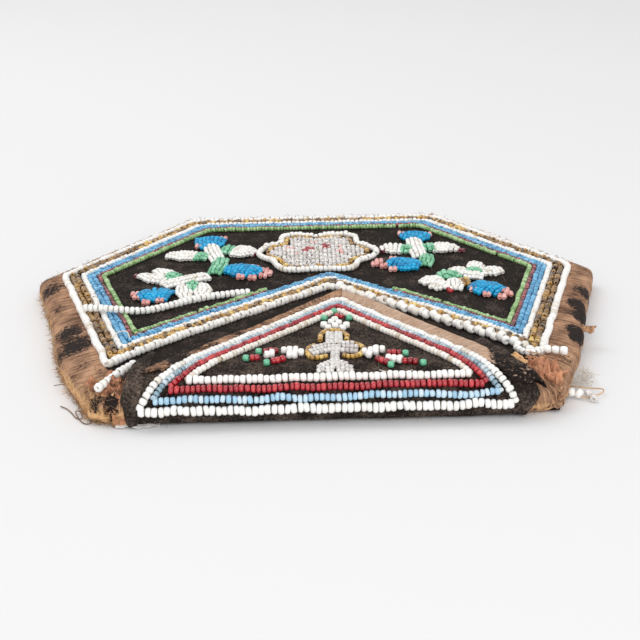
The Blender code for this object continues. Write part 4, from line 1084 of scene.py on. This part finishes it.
def side_bulge(x, y):
    """How far the worn binding stands out from the straight side."""
    if y > 92.0:
        return 0.0
    if x < 0:
        return 3.0 * math.exp(-((y - 33.0) / 24.0) ** 2)
    scallop = 0.45 + 0.45 * math.sin(2 * math.pi * y / 13.0)
    return 1.2 * math.exp(-((y - 30.0) / 18.0) ** 2) + scallop * math.exp(-((y - 48.0) / 30.0) ** 2)


# Bare patches of the edge binding: plan x, y, reach along, strength
BARE_PATCHES = (
    (-81.0, 82.0, 7.0, 0.50), (-76.5, 66.0, 4.0, 0.42), (-70.5, 47.0, 7.0, 0.55), (-67.5, 38.0, 7.5, 0.60),
    (-63.5, 24.0, 5.0, 0.35), (79.5, 71.0, 6.0, 0.55), (74.0, 52.5, 5.0, 0.60), (70.5, 40.0, 3.5, 0.4),
    (-62.0, 124.0, 7.0, 0.3), (60.0, 126.0, 6.0, 0.3), (-10.0, 149.0, 9.0, 0.25), (24.0, 149.0, 7.0, 0.25),
    (64.0, 22.0, 4.0, 0.4), (75.0, 60.0, 5.0, 0.75), (76.0, 54.0, 4.5, 0.75), (70.5, 41.0, 4.5, 0.75),
    (69.5, 36.5, 3.5, 0.7), (-58.0, 4.0, 3.0, 0.6), (-54.0, 3.0, 3.0, 0.7), (-72.0, 34.0, 6.0, 0.45),
    (-84.0, 92.0, 6.0, 0.4),
)


def bare(x, y, z):
    best = 0.0
    for px, py, reach, strength in BARE_PATCHES:
        away = math.hypot(x - px, (y - py) * 0.8)
        best = max(best, strength * max(0.0, 1.0 - (away / reach) ** 2))
    lowered = 0.0 if z > 3.0 else -0.2
    return best + lowered


def frayed(x, y, z):
    """Pale loose threads: strongest along the lower left side and its corner."""
    low = max(0.0, 1.0 - max(z - 2.4, 0.0) / 3.2)
    if x < 0 and y < 92.0:
        corner = max(0.0, 1.0 - abs(y - 10.0) / 22.0)
        return 0.12 + (0.45 + 0.35 * corner) * low + 0.15 * corner
    if x > 0 and y < 60.0:
        return 0.05 + 0.35 * low
    return 0.30 * low


def edge_ribbon():
    length = float(RIM_TRAVEL[-1])

    def place(u, v):
        inset, z = on_section(BINDING_SECTION, v)
        travel = u * length
        if v < 0.03:
            inset += 0.6 * noise_at(travel * 0.22, 0.0, 6.0)
        if min(travel, length - travel) < 16.0:
            inset = min(inset, 5.2)
        spot, out = along_rim(u, inset)
        corner = max(0.0, 1.0 - max(spot.y - 2.0, 0.0) / 16.0)
        crease = noise_at(travel * 0.30, v * 2.2, 2.0) * 0.5
        crease += noise_at(travel * 0.9, v * 3.0, 4.0) * (0.28 + 0.3 * corner)
        fold = abs(noise_at(travel * 0.16, v * 0.8, 8.0))
        torn = noise_at(travel * 0.30, v * 4.0, 12.0) * 2.3 * corner
        torn += noise_at(travel * 1.1, v * 9.0, 14.0) * 1.0 * corner
        lift = (crease + 0.5 * fold + torn) * (0.9 if v < 0.75 else 0.1)
        upward = max(0.0, 1.0 - v / 0.4)
        outward = min(1.0, v / 0.3) * (1.0 if v < 0.8 else 0.0)
        reach = lift * 0.55 * outward + side_bulge(spot.x, spot.y) * outward * (1.0 if z < 6.0 else 0.45)
        spot = spot + out * reach
        return (spot.x, spot.y, max(z + lift * 0.6 * upward, 0.06))

    ribbon, area = cloth_grid("edge_ribbon", 470, 26, place, SILK, 0.28)
    paint(ribbon, "wear", bare)
    paint(ribbon, "fray", frayed)
    scale_uv(ribbon, length, 18.0)
    keep(ribbon, "silk", "edge_binding")


def scale_uv(cloth, along, across):
    """Make the UV map run in millimetres, so that the ribs keep their size."""
    for loop in cloth.data.uv_layers.active.data:
        loop.uv = (loop.uv[0] * along, loop.uv[1] * across)


# The mouth's ribbon: its length, and its section as (Y, height above the front)
MOUTH_RIBBON = 109.2
MOUTH_SECTION = (
    (10.4, 0.30), (9.2, 0.42), (8.0, 0.40), (7.2, 0.10), (7.0, -0.5), (7.1, -1.1), (7.8, -1.5), (10.2, -1.55),
)


def mouth_ribbon():
    """Ribbon folded over the front panel's mouth edge."""
    def place(u, v):
        y, lift = on_section(MOUTH_SECTION, v)
        x = MOUTH_RIBBON * (u - 0.5)
        return (x, y, front_height(x, max(y, FRONT_MOUTH_Y)) + lift + ripple(x, y, 33.0, 0.3, 0.15))

    ribbon, area = cloth_grid("mouth_ribbon", 120, 14, place, SILK, 0.25, False)
    paint(ribbon, "wear", lambda x, y, z: 0.0)
    paint(ribbon, "fray", lambda x, y, z: 0.1)
    scale_uv(ribbon, 110.0, 7.0)
    keep(ribbon, "silk", "mouth_binding")


# The ribbon of each slanting edge: its section as (distance from the edge, lift)
FLAP_RIBBON_SECTION = (
    (4.1, 0.42), (2.8, 0.62), (1.4, 0.66), (0.2, 0.6), (-0.45, 0.2), (-0.6, -0.4), (-0.5, -1.0), (0.1, -1.35),
    (1.4, -1.45), (3.6, -1.4),
)


def flap_ribbons():
    """Ribbon folded over each slanting edge of the flap."""
    for name, slant, side in (("flap_ribbon_left", LEFT_SLANT, -1), ("flap_ribbon_right", RIGHT_SLANT, 1)):
        tipped = [(inset, lift, crossing(moved_in(LEFT_SLANT, inset), moved_in(RIGHT_SLANT, inset))[1])
                  for inset, lift in FLAP_RIBBON_SECTION]

        def place(u, v, slant=slant, side=side, tipped=tipped):
            inset, lift, tip = on_section(tipped, v)
            if side > 0:
                inset -= 2.0 * min(v / 0.3, 1.0) * min((1 - u) / 0.12, 1.0)
            top = tip + 0.4
            ragged = 2.6 * noise_at(v * 5.0, side, 3.0)
            low = FLAP_SHOULDER + (1.4 if side < 0 else -4.6)
            run = low + ragged * (1 - u) + (top - low) * u
            x = x_on(moved_in(slant, inset), run)
            rough = 1.0 if side < 0 else 0.45
            lift += rough * (0.45 * noise_at(u * 9.0, v * 1.2, 5.0 * side)
                             + 0.25 * noise_at(u * 30.0, v * 2.5, 7.0 * side))
            if side > 0 and run < 24.0:
                lift += 0.07 * (24.0 - run)
            if v < 0.08:
                x += side * -1.1 * rough * noise_at(u * 22.0, 0.0, side * 2.0)
            return on_flap(x, run, lift)

        ribbon, area = cloth_grid(name, 150, 20, place, SILK if side < 0 else FLAP_SILK, 0.22, False)
        if side < 0:
            paint(ribbon, "wear", lambda x, y, z: 0.26 + 0.35 * noise_at(x * 0.15, y * 0.15, 1.0)
                  + 0.20 * max(0.0, min((-28.0 - x) / 10.0, 1.0)))
            paint(ribbon, "fray", lambda x, y, z: 0.18)
        else:
            paint(ribbon, "wear", lambda x, y, z: 0.52 * max(0.0, min((x - 40.0) / 3.0, 1.0)))
            paint(ribbon, "fray", lambda x, y, z: 0.30 * max(0.0, min((x - 36.0) / 6.0, 1.0)))
        scale_uv(ribbon, 75.0, 12.0)
        keep(ribbon, "silk", "flap_binding")


# The flap's curled edge: distance outwards from the bead rows, lift above the flap
ROLL_SECTION = (
    (-3.0, 0.10), (-1.2, 0.45), (0.6, 1.15), (2.4, 1.25), (3.8, 0.35), (4.8, -1.1), (5.4, -2.8), (5.2, -4.4),
    (4.2, -5.6),
)


def flap_roll(side, top, reach):
    """The flap's own black edge, curled down beside its bead rows and over the fold."""
    def place(u, v):
        run = 1.2 + (top - 1.2) * u
        offset, lift = on_section(ROLL_SECTION, v)
        thin = 1.0 - 0.55 * max(0.0, (u - 0.6) / 0.4)
        thin *= 0.30 + 0.70 * min(run / 8.0, 1.0)
        inner = 48.4 - max(0.0, run - 9.0) * 0.30 * (1.0 if side > 0 else 0.55)
        wave = 0.9 * noise_at(run * 0.22, v * 1.5, 9.0 * side)
        wave += 0.35 * noise_at(run * 0.7, v * 4.0, 4.0 * side)
        x = side * (inner + offset * thin * reach + wave * 0.5)
        lift = lift * (thin if lift > 0 else 0.75 + 0.25 * thin) + wave * 0.45
        spot = on_flap(x, run, lift)
        return (spot[0], spot[1], max(spot[2], 0.8))

    name = "right_flap_roll" if side > 0 else "left_flap_roll"
    cloth, area = cloth_grid(name, 80, 30, place, FLAP_VELVET, 0.35, False)
    keep(cloth, "velvet")


# Scraps: name, centre, size, turn, tilt, crumple, material, seed, wear, fray
SCRAPS = (
    ("left_corner_scrap_a", (-55.8, 9.6, 7.9), (8.4, 6.4), 0.9, 0.1, 2.6, RUSSET_SILK, 2.0, 0.20, 0.20),
    ("left_corner_scrap_b", (-52.6, 5.0, 7.0), (6.8, 7.4), 0.2, 0.6, 2.8, RUSSET_SILK, 4.0, 0.36, 0.1),
    ("left_corner_scrap_c", (-56.6, 4.4, 5.4), (5.4, 5.0), -0.4, 0.9, 1.5, SILK, 6.0, 0.2, 0.65),
    ("left_corner_scrap_d", (-51.4, 1.6, 2.2), (5.0, 4.6), 0.1, 1.2, 1.0, RUSSET_SILK, 8.0, 0.3, 0.3),
    ("left_corner_scrap_e", (-50.6, 9.6, 8.4), (3.6, 6.0), -0.3, 0.2, 1.2, FLAP_VELVET, 10.0, 0.0, 0.1),
    ("right_corner_scrap_a", (56.4, 12.6, 8.2), (9.6, 8.4), -0.7, 0.1, 3.4, RUSSET_SILK, 12.0, 0.16, 0.22),
    ("right_corner_scrap_b", (56.2, 6.6, 6.6), (7.0, 8.6), -0.2, 0.7, 3.2, RUSSET_SILK, 14.0, 0.22, 0.25),
    ("right_corner_scrap_c", (55.2, 18.4, 8.2), (2.4, 6.0), 0.7, 0.1, 0.7, RUSSET_SILK, 16.0, 0.1, 0.35),
    ("right_corner_scrap_d", (57.4, 3.6, 4.2), (4.6, 5.0), 0.1, 1.1, 1.2, SILK, 17.0, 0.3, 0.2),
    ("right_side_scrap", (73.6, 44.6, 5.6), (5.6, 3.4), -0.35, 0.2, 1.1, SILK, 18.0, 0.0, 0.25),
    ("flap_ribbon_end_scrap", (49.2, 11.0, 11.8), (2.6, 4.6), 0.55, 0.3, 0.9, SILK, 20.0, 0.1, 0.5),
)


def scrap(name, centre, size, turn, tilt, crumple, material, seed, wear, fray):
    """A crumpled scrap of torn ribbon with a ragged outline."""
    def place(u, v):
        edge = 1.0 + 0.28 * noise_at(u * 4.0, v * 4.0, seed)
        a = (u - 0.5) * size[0] * edge
        b = (v - 0.5) * size[1] * edge
        height = crumple * noise_at(u * 2.6, v * 2.6, seed + 3.0)
        height += crumple * 0.5 * noise_at(u * 6.5, v * 6.5, seed + 5.0)
        lift = height + b * math.sin(tilt)
        b *= math.cos(tilt)
        x = centre[0] + a * math.cos(turn) - b * math.sin(turn)
        y = centre[1] + a * math.sin(turn) + b * math.cos(turn)
        return (x, y, max(centre[2] + lift, 0.25))

    cloth, _ = cloth_grid(name, 30, 30, place, material, 0.16)
    paint(cloth, "wear", lambda x, y, z: wear)
    paint(cloth, "fray", lambda x, y, z: fray)
    scale_uv(cloth, *size)
    keep(cloth, "silk")


def torn_corners():
    flap_roll(1, 34.0, 1.0)
    flap_roll(-1, 30.0, 0.62)
    for facts in SCRAPS:
        scrap(*facts)

    def hem(u, v):
        return (-53.0 + 11.0 * u, 2.6 - 3.9 * v * (0.8 + 0.5 * noise_at(u * 5.0, 3.0, 1.0)),
                0.55 + 0.35 * noise_at(u * 6.0, v * 2.0, 2.0))

    peek, _ = cloth_grid("lining_peek", 30, 8, hem, PALE_COTTON, 0.15)
    keep(peek, "lining")


# Fibres: thin bent tubes
def fibres(name, roots, material, slot, radius, bend=0.5, rings=4):
    """Each root is (place, direction, length)."""
    points = []
    faces = []
    for root, direction, length in roots:
        heading = Vector(direction).normalized()
        here = Vector(root)
        base = len(points)
        turn = scatter(bend)
        thick = radius * draw(0.6, 1.3)
        for k in range(rings):
            across = heading.orthogonal().normalized()
            other = heading.cross(across)
            slim = thick * (1.0 - 0.5 * k / rings)
            for j in range(3):
                angle = 2 * math.pi * j / 3
                points.append(here + (across * math.cos(angle) + other * math.sin(angle)) * slim)
            heading = (heading + turn / rings + scatter(bend * 0.3)).normalized()
            here = here + heading * length / (rings - 1)
            here.z = max(here.z, 0.15)
        for k in range(rings - 1):
            a = base + 3 * k
            for j in range(3):
                n = (j + 1) % 3
                faces.append((a + j, a + n, a + 3 + n, a + 3 + j))
        faces.append((base + 2, base + 1, base))
        end = base + 3 * (rings - 1)
        faces.append((end, end + 1, end + 2))
    keep(mesh_piece(name, [tuple(p) for p in points], faces, material), slot)


# How much lint lies on the field and on the flap, and how far inside the outer row the field's lies
FIELD_LINT = 900
FLAP_LINT = 3200
LINT_INSET = 12.2


def lint_on_velvet():
    """Pale dust and short hairs on the field and, thicker, on the flap."""
    field = row_outline(LINT_INSET)
    roots = []
    while len(roots) < FIELD_LINT:
        x = draw(-70, 70)
        y = draw(24, 142)
        if inside((x, y), field):
            angle = draw(0, 2 * math.pi)
            roots.append((on_front(x, y, 0.15), (math.cos(angle), math.sin(angle), 0.25), draw(0.8, 2.6)))
    fibres("field_lint", roots, LINT, "velvet", 0.05, 0.8, 3)
    roots = []
    while len(roots) < FLAP_LINT:
        run = draw(2.5, 66.0)
        left, right = flap_edges(1.0, run)
        x = draw(left, right)
        angle = draw(0, 2 * math.pi)
        place = on_flap(x, run, 0.12)
        above = Vector(on_flap(x, run, 1.0)) - Vector(on_flap(x, run, 0.0))
        ahead = Vector(on_flap(x, run + 0.5, 0.0)) - Vector(on_flap(x, run, 0.0))
        direction = Vector((math.cos(angle), 0.0, 0.0)) + ahead.normalized() * math.sin(angle) + above * 0.35
        roots.append((place, tuple(direction), draw(0.7, 2.2)))
    fibres("flap_lint", roots, LINT, "velvet", 0.05, 0.8, 3)


# How many loose fibres each stretch of the binding has
SIDE_FRAYS = 1700
TOP_FRAYS = 700
LEFT_CORNER_FRAYS = 800
RIGHT_CORNER_FRAYS = 420
CORNER_FUZZ = 170


def binding_frays():
    """Loose threads of the worn silk: tan ones low on the edge, brown ones on its top and at the torn corners."""
    tan, brown, pale = [], [], []
    for _ in range(SIDE_FRAYS):
        share = 0.27 * draw() ** 1.5
        (x, y), out = along_rim(share, draw(-0.9, 0.6))
        z = abs(gauss(2.4)) + 0.3
        heading = Vector((out.x, out.y, 0.0)) * draw(-0.1, 0.45)
        heading += Vector((-out.y, out.x, 0.0)) * gauss(1.0)
        heading.z = gauss(0.4, -0.1)
        bulge = side_bulge(x, y)
        tan.append(((x + out.x * bulge, y + out.y * bulge, min(z, 5.6)), tuple(heading), draw(0.7, 2.2)))
    for _ in range(TOP_FRAYS):
        share = draw()
        (x, y), _ = along_rim(share, draw(1.2, 6.2))
        z = 7.3 - max(0.0, 3.0 - edge_distance(x, y)) * 0.45 + 0.25
        angle = draw(0, 2 * math.pi)
        brown.append(((x, y, z), (math.cos(angle), math.sin(angle), -0.1), draw(0.5, 1.5)))
    for _ in range(LEFT_CORNER_FRAYS):
        x = draw(-62.5, -48.0)
        y = draw(1.5, 15.0)
        if edge_distance(x, y) < -0.8:
            continue
        z = draw(0.4, 8.0)
        heading = scatter(1.0)
        (tan if z < 4.8 or x < -57.0 else brown).append(((x, y, z), heading, draw(0.8, 2.6)))
    for _ in range(RIGHT_CORNER_FRAYS):
        x = draw(50.0, 61.0)
        y = draw(1.8, 17.0)
        if edge_distance(x, y) < -0.5:
            continue
        heading = scatter(1.0)
        z = front_height(x, max(y, 8.0)) + 0.2 if y > 5.0 else draw(0.6, 6.5)
        (tan if draw() < 0.45 else brown).append(((x, y, z), heading, draw(0.8, 2.4)))
    for _ in range(CORNER_FUZZ):
        place = (68.4 + gauss(1.3), 19.4 + gauss(2.0), draw(0.3, 3.6))
        pale.append((place, scatter(1.0), draw(0.8, 2.4)))
    fibres("pale_fuzz", pale, THREAD, "silk", 0.06, 1.2)
    fibres("tan_frays", tan, TAN_FIBRE, "silk", 0.075, 0.9)
    fibres("brown_frays", brown, BROWN_FIBRE, "silk", 0.06, 0.9)


# Free strands: where they run in the drawing
LOOSE_STRAND = (
    (-67.6, 56.4, 10.7), (-63.0, 55.6, 10.8), (-56.8, 54.8, 10.5), (-52.5, 55.6, 9.7), (-48.3, 57.0, 9.45),
    (-42.0, 60.8, 9.45), (-36.2, 64.6, 9.45), (-29.0, 67.4, 9.45), (-20.5, 69.3, 9.45),
)
CORNER_STRAND = ((-57.6, 4.8, 8.9), (-56.1, 7.4, 9.1), (-54.4, 10.3, 9.3), (-52.7, 13.6, 9.4), (-51.0, 16.6, 9.4),
                 (-49.4, 19.1, 9.4))


def smooth_route(path, step):
    """Points at about one step along a smooth curve through the path's own points."""
    ends = [Vector(path[0]) * 2 - Vector(path[1])] + [Vector(p) for p in path]
    ends.append(Vector(path[-1]) * 2 - Vector(path[-2]))
    route = []
    for p0, p1, p2, p3 in zip(ends, ends[1:], ends[2:], ends[3:]):
        count = max(1, round((p2 - p1).length / step))
        for i in range(count):
            t = i / count
            bend = 2 * p1 + (p2 - p0) * t + (2 * p0 - 5 * p1 + 4 * p2 - p3) * t * t
            bend += (3 * p1 - p0 - 3 * p2 + p3) * t ** 3
            route.append(bend / 2)
    route.append(Vector(path[-1]))
    return route


def strung(path, width, pitch, tilt=0.12):
    """Beads evenly spaced on a thread, with the thread's length and route."""
    route = smooth_route(path, 0.3)
    points = np.array([tuple(p) for p in route])
    runs = np.concatenate(([0.0], np.cumsum(np.linalg.norm(np.diff(points, axis=0), axis=1))))
    beads = []
    pitch = runs[-1] / round(runs[-1] / pitch)
    travel = pitch / 2
    while travel < runs[-1]:
        centre = Vector([float(np.interp(travel, runs, points[:, k])) for k in range(3)])
        ahead = Vector([float(np.interp(min(travel + 0.3, runs[-1]), runs, points[:, k])) for k in range(3)])
        behind = Vector([float(np.interp(max(travel - 0.3, 0.0), runs, points[:, k])) for k in range(3)])
        along = (ahead - behind).normalized() + scatter(tilt)
        size = width * (1.0 + gauss(0.04))
        beads.append((tuple(centre), tuple(along), (0.0, 0.0, 1.0), pitch * 0.97, size, draw(0.2, 1.0)))
        travel += pitch
    return beads, float(runs[-1]), route


def thread_tube(name, path, radius, material, slot):
    """A loose sewing thread, a thin short tube."""
    curve = bpy.data.curves.new(name, "CURVE")
    curve.dimensions = "3D"
    curve.bevel_depth = radius * MM
    curve.bevel_resolution = 2
    curve.use_fill_caps = True
    route = smooth_route(path, 0.8)
    spline = curve.splines.new("POLY")
    spline.points.add(len(route) - 1)
    for point, place in zip(spline.points, route):
        point.co = (*at(*place), 1.0)
    curve.materials.append(material)
    obj = bpy.data.objects.new(name, curve)
    bpy.context.scene.collection.objects.link(obj)
    keep(obj, slot)


def loose_strand():
    beads, length, route = strung(LOOSE_STRAND, 2.35, 1.5)
    piece = bead_group("loose_strand_beads", beads, WHITE)
    keep(piece, "bead_strand", "loose_strand")


# Threads: name, route, radius, material, slot
THREADS = (
    ("corner_thread", ((61.0, 16.4, 3.0), (62.6, 15.6, 1.6), (65.1, 15.2, 1.4), (68.8, 14.0, 1.4), (72.1, 13.5, 1.2),
                       (71.1, 11.4, 1.0), (67.2, 9.2, 1.0), (64.6, 10.3, 1.0)), 0.16, TAN_FIBRE, "bead_strand"),
    ("corner_short_thread", ((58.8, 12.2, 3.4), (59.8, 11.7, 1.8), (62.4, 11.0, 1.5), (65.2, 10.1, 1.1)),
     0.12, THREAD, "bead_strand"),
    ("curled_thread", ((-68.6, 13.2, 0.4), (-66.9, 11.9, 0.3), (-65.2, 9.3, 0.3), (-63.6, 6.2, 0.3), (-62.0, 5.5, 0.5),
                       (-62.8, 8.6, 0.9), (-64.2, 9.3, 0.6), (-62.0, 4.0, 0.3), (-59.9, 2.7, 0.3), (-58.7, 4.9, 0.8),
                       (-57.0, 2.2, 0.4)), 0.15, BROWN_FIBRE, "bead_strand"),
    ("side_short_thread", ((-71.6, 22.8, 1.9), (-70.0, 22.7, 2.2), (-68.6, 22.5, 2.2)),
     0.12, DARK_THREAD, "bead_strand"),
    ("side_thread_loop", ((-57.4, 36.0, 9.6), (-55.6, 38.4, 10.4), (-53.4, 38.0, 10.6), (-52.4, 35.4, 9.8)),
     0.14, THREAD, "bead_strand"),
    ("row_end_thread", ((52.6, 20.2, 9.6), (55.0, 18.6, 9.8), (57.4, 17.2, 9.4)), 0.14, TAN_FIBRE, "silk"),
)
# The pair of white beads and the two glass ones on the right corner's thread, then the loop at the rows' right foot
CORNER_PAIR = ((62.4, 11.2, 1.9), (66.0, 10.3, 1.5))
GLASS_PAIR = (
    ((67.7, 11.3, 1.1), (0.9, 0.4, 0.1), (0.0, 0.0, 1.0), 1.6, 2.2, 0.8),
    ((68.6, 8.5, 1.1), (0.4, 0.9, 0.1), (0.0, 0.0, 1.0), 1.6, 2.2, 0.6),
)
FOOT_LOOP = ((50.6, 24.4, 9.3), (52.4, 21.0, 9.2), (55.2, 20.6, 9.2), (57.6, 22.8, 9.0), (58.4, 26.4, 8.9))
FOOT_END = ((57.8, 22.9, 9.1), (64.1, 21.5, 8.8))


def short_strands():
    beads, _, _ = strung(CORNER_STRAND, 2.5, 1.75, 0.2)
    lay_beads("corner_strand_beads", beads, WHITE, "corner_strand", slot="bead_strand")
    pair, _, _ = strung(CORNER_PAIR, 2.5, 1.9, 0.2)
    lay_beads("corner_thread_bead_pair", pair, WHITE, "corner_thread_beads", slot="bead_strand")
    lay_beads("corner_glass_beads", GLASS_PAIR, CLEAR)
    for facts in THREADS:
        thread_tube(*facts)
    loop, _, _ = strung(FOOT_LOOP, 1.9, 1.45, 0.2)
    foot, _, _ = strung(FOOT_END, 2.4, 2.0, 0.1)
    lay_beads("right_foot_loop_beads", loop + foot, WHITE)


# Floor, backdrop and light
FLOOR_COLOUR = (0.795, 0.795, 0.80, 1.0)
WORLD_STRENGTH = 0.79
# Lamps: name, place in metres, size, power. Each faces the bag's middle
LAMPS = (("key_light", (-0.45, 0.35, 0.85), 0.7, 2.7), ("front_light", (0.15, -0.90, 0.50), 1.1, 5.2))


def stage():
    bpy.ops.object.select_all(action="DESELECT")
    bpy.ops.mesh.primitive_plane_add(size=6.0, location=(0.0, 0.0, 0.0))
    floor = bpy.context.object
    floor.name = "floor"
    floor.data.materials.append(
        new_material("paper_floor", Base_Color=FLOOR_COLOUR, Roughness=0.9, Specular_IOR_Level=0.1)[0])
    world = bpy.data.worlds.new("studio")
    bpy.context.scene.world = world
    world.use_nodes = True
    sky = world.node_tree.nodes["Background"]
    set_inputs(sky, Color=(1.0, 1.0, 1.0, 1.0), Strength=WORLD_STRENGTH)
    for name, place, size, power in LAMPS:
        data = bpy.data.lights.new(name, "AREA")
        data.size = size
        data.energy = power
        lamp = bpy.data.objects.new(name, data)
        bpy.context.scene.collection.objects.link(lamp)
        lamp.location = place
        lamp.rotation_euler = (-Vector(place)).to_track_quat("-Z", "Y").to_euler()
    bpy.context.scene.view_settings.view_transform = "Standard"


photo_camera()
loose_strand()
for node_name in ("back_card", "front_card"):
    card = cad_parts[node_name]
    card.data.materials.clear()
    card.data.materials.append(CARD)
body_cloth()
flap_cloth()
edge_ribbon()
mouth_ribbon()
flap_ribbons()
torn_corners()
body_rows()
flap_rows()
flower()
sprigs()
flap_design()
short_strands()
lint_on_velvet()
binding_frays()
stage()

bpy.context.view_layer.update()
